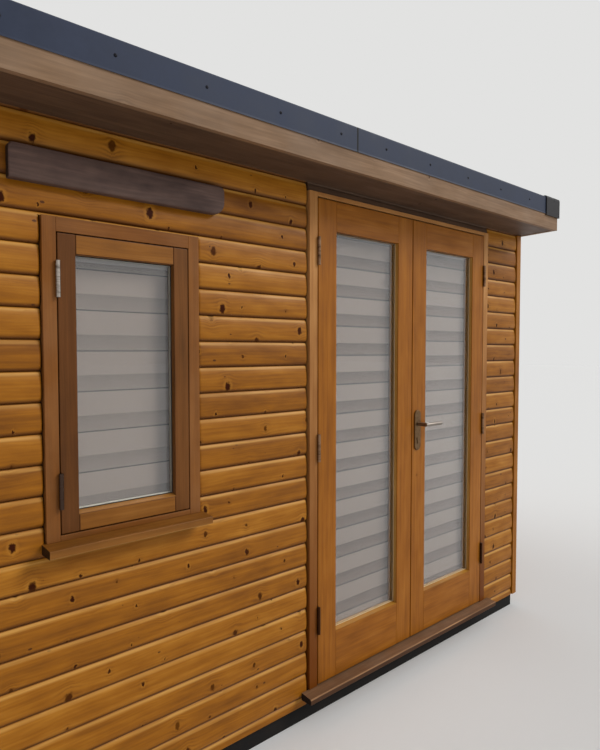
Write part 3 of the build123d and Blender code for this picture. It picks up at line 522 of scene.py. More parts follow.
# Steel with a fine grain along one axis, and tarnish in small clouds.
def satinSteel(name, look):
    material, tree = newMaterial(name)
    where = addNode(tree, "TexCoord").outputs["Object"]
    grainAt = addNode(tree, "VectorMath", {0: where, 1: look["grain"]}, operation="MULTIPLY")
    grain = addNode(tree, "TexNoise", {"Vector": grainAt, "Scale": 1.0, "Detail": 3.0})
    cloud = look.get("cloud", (60, 60, 60))
    tarnishAt = addNode(tree, "VectorMath", {0: where, 1: cloud}, operation="MULTIPLY")
    tarnish = addNode(tree, "TexNoise", {"Vector": tarnishAt, "Scale": 1.0, "Detail": 4.0})
    stained = addNode(tree, "MapRange", {0: tarnish, 1: 0.45, 2: 0.7, 3: 0.0, 4: look["stain"]})
    if "darkerBelow" in look:  # darker below a given height
        height, fade = look["darkerBelow"]
        level = addNode(tree, "SeparateXYZ", {0: where}).outputs[2]
        low = addNode(tree, "MapRange", {0: level, 1: height + fade, 2: height - fade})
        stained = addNode(tree, "Math", {0: stained, 1: low}, operation="MAXIMUM")
    base = addNode(tree, "Mix", {0: stained, 6: look["base"], 7: look["dark"]}, data_type="RGBA")
    rough = addNode(tree, "MapRange", {
        0: grain, 1: 0.3, 2: 0.7, 3: look["rough"] - 0.06, 4: look["rough"] + 0.1,
    })
    bump = addNode(tree, "Bump", {"Strength": 0.15, "Distance": 0.0002, "Height": grain})
    shader = addNode(tree, "BsdfPrincipled", {
        "Base Color": base, "Roughness": rough, "Metallic": 1.0, "Normal": bump,
    })
    addNode(tree, "OutputMaterial", {0: shader})
    return material


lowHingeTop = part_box("frame_hinges")[0].z + 0.3  # over the lowest hinge, under the next
windowHingeMiddle = sum(v.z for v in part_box("window_hinges")) / 2
brushed = (300, 300, 2500)
leverLook = {"base": "#8F867D", "dark": "#625950", "stain": 0.4, "rough": 0.32, "grain": brushed}
plateLook = {"base": "#755B3F", "dark": "#523B22", "stain": 0.6, "rough": 0.4, "grain": brushed}
hingeLook = {
    "base": "#8C6E54", "dark": "#3F2615", "stain": 0.8, "rough": 0.42, "grain": (1200, 1200, 200),
    "cloud": (25, 25, 90), "darkerBelow": (lowHingeTop, 0.1),
}
zincLook = {
    "base": "#A39A90", "dark": "#46372F", "stain": 0.8, "rough": 0.4, "grain": (1200, 1200, 200),
    "cloud": (25, 25, 190), "darkerBelow": (windowHingeMiddle, 0.1),
}
screwLook = {"base": "#232327", "dark": "#161513", "stain": 0.4, "rough": 0.45, "grain": (900, 900, 900)}

handleFinish = satinSteel("satinStainlessSteel", leverLook)  # soft grey glint
plateFinish = satinSteel("paintedReflectionPlateSteel", plateLook)  # painted reflection: bronze brown, as the steel mirrors the wood round it
hingeFinish = satinSteel("agedHingeSteel", hingeLook)  # brown steel, darkest low down
brightHinge = satinSteel("zincPlatedHinge", zincLook)  # pale zinc above, dark brown below
screwFinish = satinSteel("blackenedScrew", screwLook)  # dark dots on the trim


# Float glass that lamps shine through.
def clearGlass(name):
    material, tree = newMaterial(name)
    glass = addNode(tree, "BsdfPrincipled", {
        "Base Color": "#FEFDFD", "Roughness": 0.0, "IOR": 1.5, "Transmission Weight": 1.0,
    })
    clear = addNode(tree, "BsdfTransparent", {"Color": "#F3F4F3"})
    shadowRay = addNode(tree, "LightPath").outputs["Is Shadow Ray"]
    mixed = addNode(tree, "MixShader", {0: shadowRay, 1: glass, 2: clear})
    addNode(tree, "OutputMaterial", {0: mixed})
    return material


glassFinish = clearGlass("clearFloatGlass")


# Day and night blind: woven bands, sheer bands between, the back layer half a band out of step.
def bandedCloth(name, look):
    material, tree = newMaterial(name)
    where = addNode(tree, "TexCoord").outputs["Object"]
    axes = addNode(tree, "SeparateXYZ", {0: where}).outputs
    behind = addNode(tree, "Math", {0: axes[1], 1: look["middle"]}, operation="GREATER_THAN")
    period = look["period"]
    level = addNode(
        tree, "Math", {0: axes[2], 1: 1 / period, 2: -look["start"] / period}, operation="MULTIPLY_ADD",
    )
    level = addNode(tree, "Math", {0: behind, 1: 0.5, 2: level}, operation="MULTIPLY_ADD")
    step = addNode(tree, "Math", {0: level}, operation="FRACT")
    wovenShare, hemHalf = look["woven"] / period, look["hem"] / period / 2
    woven = addNode(tree, "Math", {0: step, 1: wovenShare}, operation="LESS_THAN")
    # A painted shadow: a thin near-black line along the top of each woven band.
    hem = addNode(tree, "Math", {0: step, 1: wovenShare - hemHalf, 2: hemHalf}, operation="COMPARE")
    weaveAt = addNode(tree, "VectorMath", {0: where, 1: look["weave"]}, operation="MULTIPLY")
    weave = addNode(tree, "TexNoise", {"Vector": weaveAt, "Scale": 1.0, "Detail": 2.0})
    slub = addNode(tree, "MapRange", {0: weave, 1: 0.35, 2: 0.7, 3: 0.0, 4: 0.4})
    tint = addNode(tree, "Mix", {0: slub, 6: look["pale"], 7: look["shade"]}, data_type="RGBA")
    fade = addNode(tree, "MapRange", {0: step, 1: wovenShare, 2: 1.0})  # shade below a woven band
    sheer = addNode(tree, "Mix", {0: fade, 6: look["sheer"], 7: look["shaded"]}, data_type="RGBA")
    base = addNode(tree, "Mix", {0: woven, 6: sheer, 7: tint}, data_type="RGBA")
    base = addNode(tree, "Mix", {0: hem, 6: base, 7: look["hemShadow"]}, data_type="RGBA")
    cover = addNode(tree, "MapRange", {0: woven, 1: 0.0, 2: 1.0, 3: look["sheerCover"], 4: 1.0})
    bump = addNode(tree, "Bump", {"Strength": 0.3, "Distance": 0.0004, "Height": weave})
    shader = addNode(tree, "BsdfPrincipled", {
        "Base Color": base, "Roughness": 0.85, "Normal": bump, "Alpha": cover, "Sheen Weight": 0.15,
    })
    addNode(tree, "OutputMaterial", {0: shader})
    return material


# The cloth's colours are darkened with painted shade, as for a cloth in the dim room behind the glass.
cloth = {
    "pale": "#84776D", "shade": "#776A60", "sheer": "#7C7067", "shaded": "#6B5F56", "hemShadow": "#120F0D",
    "sheerCover": 0.88, "woven": 0.0757, "hem": 0.0040, "weave": (60, 60, 1500),
}
print("finishes made")


# Joinery

# A square bar with eased arrises.
def addBar(shape, low, high, slot, ease):
    made = bmesh.ops.create_cube(shape, size=1.0)["verts"]
    low, high = Vector(low), Vector(high)
    middle, size = (low + high) / 2, high - low
    for vert in made:
        vert.co = Vector(c * s for c, s in zip(vert.co, size)) + middle
    for face in dict.fromkeys(face for vert in made for face in vert.link_faces):
        face.material_index = slot
    edges = list(dict.fromkeys(edge for vert in made for edge in vert.link_edges))
    bmesh.ops.bevel(
        shape, geom=edges, offset=ease, segments=2, affect="EDGES", profile=0.5, clamp_overlap=True,
    )


# An outline in (y, z), run along X.
def addPrism(shape, outline, x0, x1, slot):
    ends = [[shape.verts.new((x, y, z)) for y, z in outline] for x in (x0, x1)]
    faces = [shape.faces.new(ends[0]), shape.faces.new(list(reversed(ends[1])))]
    count = len(outline)
    for i in range(count):
        j = (i + 1) % count
        faces.append(shape.faces.new((ends[0][i], ends[1][i], ends[1][j], ends[0][j])))
    bmesh.ops.recalc_face_normals(shape, faces=faces)
    for face in faces:
        face.material_index = slot


# Uprights that run right through, with rails between them.
def frameBars(low, high, side, top, bottom, rightFinish=0):
    x0, y0, z0 = low
    x1, y1, z1 = high
    bars = [
        ((x0, y0, z0), (x0 + side, y1, z1), 0),
        ((x1 - side, y0, z0), (x1, y1, z1), rightFinish),
        ((x0 + side, y0, z1 - top), (x1 - side, y1, z1), 1),
    ]
    if bottom:
        bars.append(((x0 + side, y0, z0), (x1 - side, y1, z0 + bottom), 1))
    return bars


glazing = {
    "rebate": 0.012, "beadFall": 0.008, "beadLip": 0.0012, "beadBed": 0.002, "setback": 0.001, "tuck": 0.001,
    "pane": 0.004, "seal": 0.0028, "sealDepth": 0.0015, "spacer": 0.005, "play": 0.0001, "sealEase": 0.0003,
    "liningSetback": 0.004, "lining": 0.0012, "sideBead": 0.014, "stripEase": 0.0004, "doorEase": 0.0018,
    "casementEase": 0.0024,
}


# A strip of wood up each side of the glass.
def sideStrips(shape, x0, x1, y0, y1, z0, z1, width):
    tuck, ease = glazing["tuck"], glazing["stripEase"]
    addBar(shape, (x0 - tuck, y0, z0), (x0 + width, y1, z1), 3, ease)
    addBar(shape, (x1 - width, y0, z0), (x1 + tuck, y1, z1), 3, ease)


# Stiles and rails round a glass unit, with a sloping bead along the bottom, its seals and spacer.
# The finishes are upright, cross, bead and side strip or closing stile; the edging is the sides' seal,
# the top's seal and the spacer.
def glazedFrame(name, node, glassNode, body, slot, finishes, ease, edging, closing=0, lined=False):
    low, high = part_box(node)
    glassLow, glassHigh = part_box(glassNode)
    rebate, setback, play = glazing["rebate"], glazing["setback"], glazing["play"]
    x0, x1 = glassLow.x + rebate, glassHigh.x - rebate
    z0, z1 = glassLow.z + rebate, glassHigh.z - rebate
    ledge = z0 - glazing["beadFall"]
    bed, lip = ledge - glazing["beadBed"], ledge + glazing["beadLip"]
    shape = bmesh.new()
    for barLow, barHigh, finish in frameBars(low, high, x0 - low.x, high.z - z1, ledge - low.z, closing):
        addBar(shape, barLow, barHigh, finish, ease)
    face, inside = low.y + setback, high.y - setback
    bead = [(face, bed), (face, lip), (glassLow.y, z0), (glassLow.y, bed)]
    rest = [(glassHigh.y, bed), (glassHigh.y, z0), (inside, z0), (inside, bed)]
    for outline in (bead, rest):
        addPrism(shape, outline, x0 - glazing["tuck"], x1 + glazing["tuck"], 2)
    sealFront, sealBack = glassLow.y - glazing["sealDepth"], glassHigh.y + glazing["sealDepth"]
    if lined:
        front = low.y + glazing["liningSetback"]
        sideStrips(shape, x0, x1, front, sealFront - play, ledge, z1, glazing["lining"])
        sideStrips(shape, x0, x1, sealBack + play, inside, z0, z1, glazing["sideBead"])
    place(newObject(name, meshFrom(shape, name, finishes)), body, slot, node)

    shape = bmesh.new()
    rings = (
        (glazing["seal"], sealFront, glassLow.y - play, (0, 0, 1, 0)),
        (glazing["seal"], glassHigh.y + play, sealBack, (0, 0, 1, 0)),
        (
            glazing["spacer"], glassLow.y + glazing["pane"] + play, glassHigh.y - glazing["pane"] - play,
            (2, 2, 2, 2),
        ),
    )
    for width, y0, y1, sides in rings:
        bars = frameBars((x0, y0, z0), (x1, y1, z1), width, width, width)
        for (barLow, barHigh, _), finish in zip(bars, sides):
            addBar(shape, barLow, barHigh, finish, glazing["sealEase"])
    seals = name + "Seals"
    place(newObject(seals, meshFrom(shape, seals, edging)), body, "glass")


# Log-lap boards

boards = {
    "cover": logLap["cover"], "firstGroove": logLap["first"], "thickness": 0.020,
    "section": [  # depth behind the crest, height above the groove below
        (0.0105, 0.0002), (0.0082, 0.0009), (0.0058, 0.0026), (0.0036, 0.0060), (0.0018, 0.0110),
        (0.0006, 0.0180), (0.0000, 0.0270), (0.0004, 0.0440), (0.0014, 0.0600), (0.0028, 0.0700),
        (0.0045, 0.0774), (0.0063, 0.0830), (0.0083, 0.0872), (0.0105, 0.0892), (0.0200, 0.0892),
        (0.0200, 0.0002),
    ],
    "endRound": 0.011, "endDrop": 0.0060, "endPinch": 0.08, "endSteps": 5, "doorGap": 0.007,
    "windowGap": 0.003, "trimGap": 0.002, "wobble": 0.0004, "seed": 11,
}


# One board along X from 0, front to -Y, its crest on y = 0, its ends square or eased by hand.
def boardMesh(length, eased):
    steps = boards["endSteps"]
    angles = [pi / 2 * index / steps for index in range(steps + 1)]
    ends = [(boards["endRound"] * (1 - cos(angle)), 1 - sin(angle)) for angle in angles]
    if not eased:
        ends = [(0.0, 0.0)]
    middle = sum(height for _, height in boards["section"]) / len(boards["section"])
    shape = bmesh.new()
    rings = []
    for x, pull in ends + [(length - x, pull) for x, pull in reversed(ends)]:
        ring = []
        for depth, height in boards["section"]:
            front = (boards["thickness"] - depth) / boards["thickness"]
            y = depth + boards["endDrop"] * pull * front
            z = height + (middle - height) * boards["endPinch"] * pull
            ring.append(shape.verts.new((x, y, z)))
        rings.append(ring)
    count = len(boards["section"])
    for a, b in zip(rings, rings[1:]):
        for i in range(count):
            j = (i + 1) % count
            shape.faces.new((a[i], b[i], b[j], a[j]))
    shape.faces.new(rings[0])
    shape.faces.new(list(reversed(rings[-1])))
    bmesh.ops.recalc_face_normals(shape, faces=shape.faces)
    return meshFrom(shape, "board", [])


def nodeTree(name, sockets):
    tree = bpy.data.node_groups.new(name, "GeometryNodeTree")
    for socket, kind in sockets.items():
        tree.interface.new_socket(socket, in_out="INPUT", socket_type="NodeSocket" + kind)
    tree.interface.new_socket("Geometry", in_out="OUTPUT", socket_type="NodeSocketGeometry")
    return tree, addNode(tree, "NodeGroupInput").outputs


# Makes the copies real, gives them their finish and ends the tree.
def endTree(tree, copies, finish):
    real = addNode(tree, "GeometryNodeRealizeInstances", {0: copies})
    painted = addNode(tree, "GeometryNodeSetMaterial", {"Geometry": real, "Material": finish})
    addNode(tree, "NodeGroupOutput", {0: painted})
    return tree


# Stacks one board into a wall, each row a little out of true.
def boardRows():
    tree, given = nodeTree("boardRows", {
        "Board": "Object", "Rows": "Int", "Cover": "Float", "Lowest": "Float", "Wobble": "Float",
        "Seed": "Int", "Finish": "Material",
    })
    step = addNode(tree, "CombineXYZ", {"Z": given["Cover"]})
    start = addNode(tree, "CombineXYZ", {"Z": given["Lowest"]})
    points = addNode(tree, "GeometryNodeMeshLine", {
        "Count": given["Rows"], "Start Location": start, "Offset": step,
    })
    source = addNode(tree, "GeometryNodeObjectInfo", {"Object": given["Board"]})
    laid = addNode(tree, "GeometryNodeInstanceOnPoints", {
        "Points": points, "Instance": source.outputs["Geometry"],
    })
    chance = addNode(tree, "FunctionNodeRandomValue", {"Seed": given["Seed"]}, data_type="FLOAT")
    depth = addNode(tree, "Math", {0: chance.outputs[1], 1: given["Wobble"]}, operation="MULTIPLY")
    shift = addNode(tree, "CombineXYZ", {"Y": depth})
    moved = addNode(tree, "GeometryNodeTranslateInstances", {"Instances": laid, "Translation": shift})
    return endTree(tree, moved, given["Finish"])


# Runs a tree and keeps the plain mesh that it makes.
def fromTree(name, tree, values):
    holder = newObject(name + "Holder", bpy.data.meshes.new(name + "Holder"))
    modifier = holder.modifiers.new("tree", "NODES")
    modifier.node_group = tree
    sockets = {s.name: s.identifier for s in tree.interface.items_tree if s.in_out == "INPUT"}
    for key, value in values.items():
        modifier[sockets[key]] = value
    bpy.context.view_layer.update()
    evaluated = holder.evaluated_get(bpy.context.evaluated_depsgraph_get())
    mesh = bpy.data.meshes.new_from_object(evaluated)
    mesh.name = name
    bpy.data.objects.remove(holder)
    return mesh


# Cuts away what lies beyond a plane and closes the cut.
def cutFlat(shape, point, normal):
    geom = list(shape.verts) + list(shape.edges) + list(shape.faces)
    bmesh.ops.bisect_plane(shape, geom=geom, dist=hair, plane_co=point, plane_no=normal, clear_outer=True)
    rim = [edge for edge in shape.edges if edge.is_boundary]
    bmesh.ops.holes_fill(shape, edges=rim, sides=0)


# Boards over one stretch of wall, as a mesh in its place, cut level or to the roof's slope.
def boardPanel(tree, length, zLow, zHigh, turn, origin, finish, eased=True, slope=None):
    first, cover = boards["firstGroove"], boards["cover"]
    rowLow = floor((zLow - first) / cover + hair)
    rowHigh = ceil((zHigh - first) / cover - hair)
    source = newObject("boardSource", boardMesh(length, eased))
    mesh = fromTree("boards", tree, {
        "Board": source, "Rows": rowHigh - rowLow, "Cover": cover, "Lowest": first + rowLow * cover,
        "Wobble": boards["wobble"], "Seed": boards["seed"] + rowLow, "Finish": finish,
    })
    bpy.data.objects.remove(source)
    mesh.transform(Matrix.Translation(origin) @ Matrix.Rotation(turn, 4, "Z"))
    shape = bmesh.new()
    shape.from_mesh(mesh)
    cutFlat(shape, (0, 0, zLow), (0, 0, -1))
    cutFlat(shape, *(slope or ((0, 0, zHigh), (0, 0, 1))))
    shape.to_mesh(mesh)
    shape.free()
    return mesh


# One object from several meshes. The last mesh may have a finish of its own.
def joinMeshes(name, meshes, finishes, sharp=35, last=0):
    shape = bmesh.new()
    for mesh in meshes:
        done = len(shape.faces)
        shape.from_mesh(mesh)
        shape.faces.ensure_lookup_table()
        for face in shape.faces[done:]:
            face.smooth = True
            face.material_index = last if mesh == meshes[-1] else 0
    for mesh in meshes:
        bpy.data.meshes.remove(mesh)
    joined = meshFrom(shape, name, finishes)
    joined.set_sharp_from_angle(angle=radians(sharp))
    return newObject(name, joined)


def frontBoards(tree):
    low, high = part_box("front_cladding")
    windowLow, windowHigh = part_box("window_frame")
    doorLow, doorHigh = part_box("door_frame")
    left, right = low.x + boards["trimGap"], high.x - boards["trimGap"]
    doorStart, doorEnd = doorLow.x - boards["doorGap"], doorHigh.x + boards["doorGap"]
    windowStart, windowEnd = windowLow.x - boards["windowGap"], windowHigh.x + boards["windowGap"]
    spans = (
        (left, doorStart, low.z, windowLow.z, True),
        (left, windowStart, windowLow.z, windowHigh.z, True),
        (windowEnd, doorStart, windowLow.z, windowHigh.z, True),
        (left, doorStart, windowHigh.z, high.z, True),
        (doorEnd, right, low.z, high.z, True),
        (doorLow.x, doorHigh.x, doorHigh.z, high.z, False),
    )
    meshes = [
        boardPanel(tree, x1 - x0, z0, z1, 0.0, (x0, low.y, 0), boardsAlongFront, eased)
        for x0, x1, z0, z1, eased in spans
    ]
    front = joinMeshes("frontBoards", meshes, [boardsAlongFront, paintedShadeOverDoors], last=1)
    place(front, building, "log_lap", "front_cladding")


def backBoards(tree):
    low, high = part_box("back_cladding")
    left, right = low.x + boards["trimGap"], high.x - boards["trimGap"]
    back = boardPanel(tree, right - left, low.z, high.z, pi, (right, high.y, 0), boardsAlongFront)
    place(joinMeshes("backBoards", [back], [boardsAlongFront]), building, "log_lap", "back_cladding")


# The side walls' boards, cut to the roof's slope.
def sideBoards(tree, side, turn):
    node = side + "_cladding"
    low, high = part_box(node)
    top = max(v.co.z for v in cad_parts[node].data.vertices if v.co.y > high.y - onEdge)
    normal = Vector((0, (high.z - top) / (high.y - low.y), 1)).normalized()
    gap = boards["trimGap"]
    origin = (low.x, high.y - gap, 0) if turn < 0 else (high.x, low.y + gap, 0)
    mesh = boardPanel(
        tree, high.y - low.y - 2 * gap, low.z, high.z, turn, origin, boardsAlongSide,
        slope=((0, low.y, high.z), normal),
    )
    place(joinMeshes(side + "Boards", [mesh], [boardsAlongSide]), building, "log_lap", node)


boardTree = boardRows()
frontBoards(boardTree)
backBoards(boardTree)
sideBoards(boardTree, "left", -pi / 2)
sideBoards(boardTree, "right", pi / 2)
print("boards laid")


# Doors and window

def doors():
    for side in ("left", "right"):
        leaf = side + "_leaf"
        # The seal along the top of the glass is black, painted shade; the seals at the sides and bottom are
        # tan.
        glazedFrame(
            side + "LeafTimber", leaf, side + "_glass", leaf, "door_timber",
            [doorUpright, doorCross, beadTimber, sideBeadPaintedLight], glazing["doorEase"],
            [tanSeal, sealFinish, tanSpacer], lined=True,
        )


doorSurround = {"side": 0.043, "top": 0.018, "bottom": 0.0, "stop": 0.015, "stopGap": 0.005}
windowSurround = {"side": 0.040, "top": 0.042, "bottom": 0.017, "stop": 0.012, "stopGap": 0.0}
surroundFit = {"tuck": 0.001, "inset": 0.0005, "ease": 0.0015}


# The fixed frame: full-height jambs with the head between them, and stops behind what shuts in it.
def surround(name, node, finishes, look, shutNode):
    low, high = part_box(node)
    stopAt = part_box(shutNode)[1].y + look["stopGap"]
    bars = frameBars(low, high, look["side"], look["top"], look["bottom"])
    x0, x1 = low.x + look["side"], high.x - look["side"]
    z0, z1 = low.z + look["bottom"], high.z - look["top"]
    stop, tuck, back = look["stop"], surroundFit["tuck"], high.y - surroundFit["inset"]
    bars += [
        ((x0 - tuck, stopAt, z0), (x0 + stop, back, z1), 0),
        ((x1 - stop, stopAt, z0), (x1 + tuck, back, z1), 0),
        ((x0 + stop, stopAt, z1 - stop), (x1 - stop, back, z1 + tuck), 1),
    ]
    if look["bottom"]:
        bars.append(((x0 + stop, stopAt, z0 - tuck), (x1 - stop, back, z0 + stop), 1))
    shape = bmesh.new()
    for barLow, barHigh, finish in bars:
        addBar(shape, barLow, barHigh, finish, surroundFit["ease"])
    place(newObject(name, meshFrom(shape, name, finishes)), building, "frame_timber", node)


def windowCasement():
    glazedFrame(
        "casementTimber", "window_casement", "window_glass", building, "window_timber",
        [casementUpright, casementCross, sashBead, closingUpright], glazing["casementEase"],
        [sealFinish, sealFinish, spacerFinish], closing=3,
    )


doors()
surround("doorSurround", "door_frame", [jambUpright, jambCross], doorSurround, "left_leaf")
surround("windowSurround", "window_frame", [windowUpright, windowCross], windowSurround, "window_casement")
windowCasement()
print("doors and window made")


# A round head on the XZ plane, from rings of (reach, rise), closed at both ends. It faces turn along Y.
def addHead(shape, rings, radius, height, sides, middle=(0.0, 0.0, 0.0), turn=-1):
    x, y, z = middle
    angles = [2 * pi * k / sides for k in range(sides)]
    made = [
        [
            shape.verts.new((
                x + reach * radius * cos(angle), y + turn * rise * height, z + reach * radius * sin(angle),
            ))
            for angle in angles
        ]
        for reach, rise in rings
    ]
    for a, b in zip(made, made[1:]):
        for k in range(sides):
            after = (k + 1) % sides
            shape.faces.new((a[k], a[after], b[after], b[k]))
    shape.faces.new(made[0])
    shape.faces.new(made[-1])


# Small fixings on the lever's plates

fixings = {
    "rings": ((1.0, -0.5), (1.0, 0.4), (0.8, 1.0), (0.5, 0.9), (0.45, -0.2)),
    "screwRadius": 0.0042, "screwFromEnd": 0.013, "proud": 0.0006, "sides": 20, "plate": 0.007,
}


def plateFixings():
    low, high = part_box("handle_plates")
    leafLow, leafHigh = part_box("right_leaf")
    x = (low.x + high.x) / 2
    shape = bmesh.new()
    for y, turn in ((leafLow.y - fixings["plate"], -1), (leafHigh.y + fixings["plate"], 1)):
        for z in (low.z + fixings["screwFromEnd"], high.z - fixings["screwFromEnd"]):
            addHead(
                shape, fixings["rings"], fixings["screwRadius"], fixings["proud"], fixings["sides"],
                (x, y, z), turn,
            )
    bmesh.ops.recalc_face_normals(shape, faces=shape.faces)
    screws = newObject("plateScrews", meshFrom(shape, "plateScrews", [plateFinish]))
    place(screws, "right_leaf", "handle_steel")


plateFixings()
print("fixings made")


# Blinds

blinds = {"columns": 8, "rows": 120, "turnSteps": 8, "inset": 0.002, "barPlay": 0.0005}


# One loop of cloth: down the front, round the weight bar and up the back.
def blindCloth(which, body, bands):
    node = which + "_blind_fabric"
    low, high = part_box(node)
    front, back = low.y + blinds["inset"], high.y - blinds["inset"]
    radius, middle = (back - front) / 2, (front + back) / 2
    top, bottom = high.z, low.z + radius + blinds["barPlay"]
    rows, columns, turn = blinds["rows"], blinds["columns"], blinds["turnSteps"]
    angles = [pi * i / turn for i in range(1, turn)]
    path = [(front, top + (bottom - top) * i / rows) for i in range(rows + 1)]
    path += [(middle - radius * cos(angle), bottom - radius * sin(angle)) for angle in angles]
    path += [(back, bottom + (top - bottom) * i / rows) for i in range(rows + 1)]
    width = high.x - low.x
    across = [low.x + width * i / columns for i in range(columns + 1)]
    shape = bmesh.new()
    grid = [[shape.verts.new((x, y, z)) for x in across] for y, z in path]
    for a, b in zip(grid, grid[1:]):
        for i in range(columns):
            shape.faces.new((a[i], a[i + 1], b[i + 1], b[i])).smooth = True
    bmesh.ops.recalc_face_normals(shape, faces=shape.faces)
    name = which + "BlindCloth"
    finish = bandedCloth(which + "BandedPolyester", {**cloth, **bands, "middle": middle})
    thing = place(newObject(name, meshFrom(shape, name, [finish])), body, "blind_fabric", node)


doorBands = {"sheer": "#6E5F55", "shaded": "#4D3E35", "hem": 0.007}  # darker sheer bands than the window's
blindCloth("left", "left_leaf", {**doorBands, "start": 0.2935, "period": 0.1247})
blindCloth("right", "right_leaf", {**doorBands, "start": 0.3603, "period": 0.1248})
blindCloth("window", building, {"start": 1.0634, "period": 0.1234})
print("blinds hung")


# Plank over the window

plank = {
    "weld": 1e-5, "grid": 0.004, "smoothing": (2, 0.5), "sink": 0.0006, "hew": 0.0013,
    "chips": (9, 60, 45), "waves": (3, 0, 14),
}


def windowPlank():
    shape = bmesh.new()
    shape.from_mesh(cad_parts["sign_board"].data)
    bmesh.ops.remove_doubles(shape, verts=shape.verts, dist=plank["weld"])
    thing = newObject("plankSource", meshFrom(shape, "plankSource", []))
    remesh = thing.modifiers.new("remesh", "REMESH")
    remesh.mode, remesh.voxel_size = "VOXEL", plank["grid"]
    smooth = thing.modifiers.new("smooth", "SMOOTH")
    smooth.iterations, smooth.factor = plank["smoothing"]
    bpy.context.view_layer.update()
    worn = bpy.data.meshes.new_from_object(thing.evaluated_get(bpy.context.evaluated_depsgraph_get()))
    bpy.data.objects.remove(thing)
    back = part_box("sign_board")[1].y
    for vert in worn.vertices:
        chips, waves = (Vector(c * s for c, s in zip(vert.co, plank[key])) for key in ("chips", "waves"))
        hew = noise.noise(chips) + noise.noise(waves)
        vert.co -= vert.normal * (plank["sink"] + plank["hew"] * max(0.0, hew))
        vert.co.y = min(vert.co.y, back)
    for polygon in worn.polygons:
        polygon.use_smooth = True
    worn.materials.clear()
    worn.materials.append(signTimber)
    worn.name = "windowPlank"
    place(newObject("windowPlank", worn), building, "sign_timber", "sign_board")


windowPlank()
print("plank made")


# Screws along the roof's edge trims

screws = {
    "rings": ((1.0, -0.2), (1.0, 0.3), (0.9, 0.7), (0.68, 0.97), (0.4, 1.0), (0.34, 0.35)),
    "radius": 0.0050, "height": 0.0020, "sides": 16, "pitch": 0.2885, "beforeJoint": 0.0875,
    "afterJoint": 0.166, "fromCorner": 0.25, "trimWidth": 0.060, "seed": 3,
}


# A domed head with a round socket.
def screwHead():
    shape = bmesh.new()
    addHead(shape, screws["rings"], screws["radius"], screws["height"], screws["sides"])
    bmesh.ops.recalc_face_normals(shape, faces=shape.faces)
    return meshFrom(shape, "screwHead", [])


# One kind of head, repeated in a straight row, each turned by chance as a driver leaves it.
def screwRow():
    tree, given = nodeTree("screwRow", {
        "Head": "Object", "Count": "Int", "Start": "Vector", "Step": "Vector", "Turn": "Vector",
        "Seed": "Int", "Finish": "Material",
    })
    points = addNode(tree, "GeometryNodeMeshLine", {
        "Count": given["Count"], "Start Location": given["Start"], "Offset": given["Step"],
    })
    source = addNode(tree, "GeometryNodeObjectInfo", {"Object": given["Head"]})
    laid = addNode(tree, "GeometryNodeInstanceOnPoints", {
        "Points": points, "Instance": source.outputs["Geometry"], "Rotation": given["Turn"],
    })
    chance = addNode(tree, "FunctionNodeRandomValue", {"Seed": given["Seed"]}, data_type="FLOAT")
    spin = addNode(tree, "Math", {0: chance.outputs[1], 1: 2 * pi}, operation="MULTIPLY")
    spin = addNode(tree, "CombineXYZ", {"Y": spin})
    spun = addNode(tree, "GeometryNodeRotateInstances", {"Instances": laid, "Rotation": spin})
    return endTree(tree, spun, given["Finish"])


def trimScrews():
    tree = screwRow()
    head = newObject("screwSource", screwHead())
    leftLow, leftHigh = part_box("front_edge_trim_left")
    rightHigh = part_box("front_edge_trim_right")[1]
    backLow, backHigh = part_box("back_edge_trim")
    frontY, backY = leftHigh.y - screws["trimWidth"], backLow.y + screws["trimWidth"]
    frontZ, backZ = (leftLow.z + leftHigh.z) / 2, (backLow.z + backHigh.z) / 2
    pitch, corner = screws["pitch"], screws["fromCorner"]
    first, last = jointMiddle - screws["beforeJoint"], jointMiddle + screws["afterJoint"]
    leftCount = int((first - leftLow.x - corner) / pitch) + 1
    rightCount = int((rightHigh.x - corner - last) / pitch) + 1
    backCount = int((backHigh.x - backLow.x - 2 * corner) / pitch) + 1
    rows = [
        ((first, frontY, frontZ), (-pitch, 0, 0), 0, leftCount),
        ((last, frontY, frontZ), (pitch, 0, 0), 0, rightCount),
        ((-pitch * (backCount - 1) / 2, backY, backZ), (pitch, 0, 0), pi, backCount),
    ]
    slope = (backZ - frontZ) / (backY - frontY)
    sideCount = int((backY - frontY - 2 * corner) / pitch) + 1
    for x, turn in ((leftLow.x, -pi / 2), (rightHigh.x, pi / 2)):
        start = (x, frontY + corner, frontZ + slope * corner)
        rows.append((start, (0, pitch, slope * pitch), turn, sideCount))
    meshes = [
        fromTree("screws", tree, {
            "Head": head, "Count": count, "Start": start, "Step": step, "Turn": (0, 0, turn),
            "Seed": screws["seed"], "Finish": screwFinish,
        })
        for start, step, turn, count in rows
    ]
    bpy.data.objects.remove(head)
    place(joinMeshes("trimScrews", meshes, [screwFinish], sharp=50), building, "edge_trim")


trimScrews()
print("screws set")


# CAD pieces that keep their shape

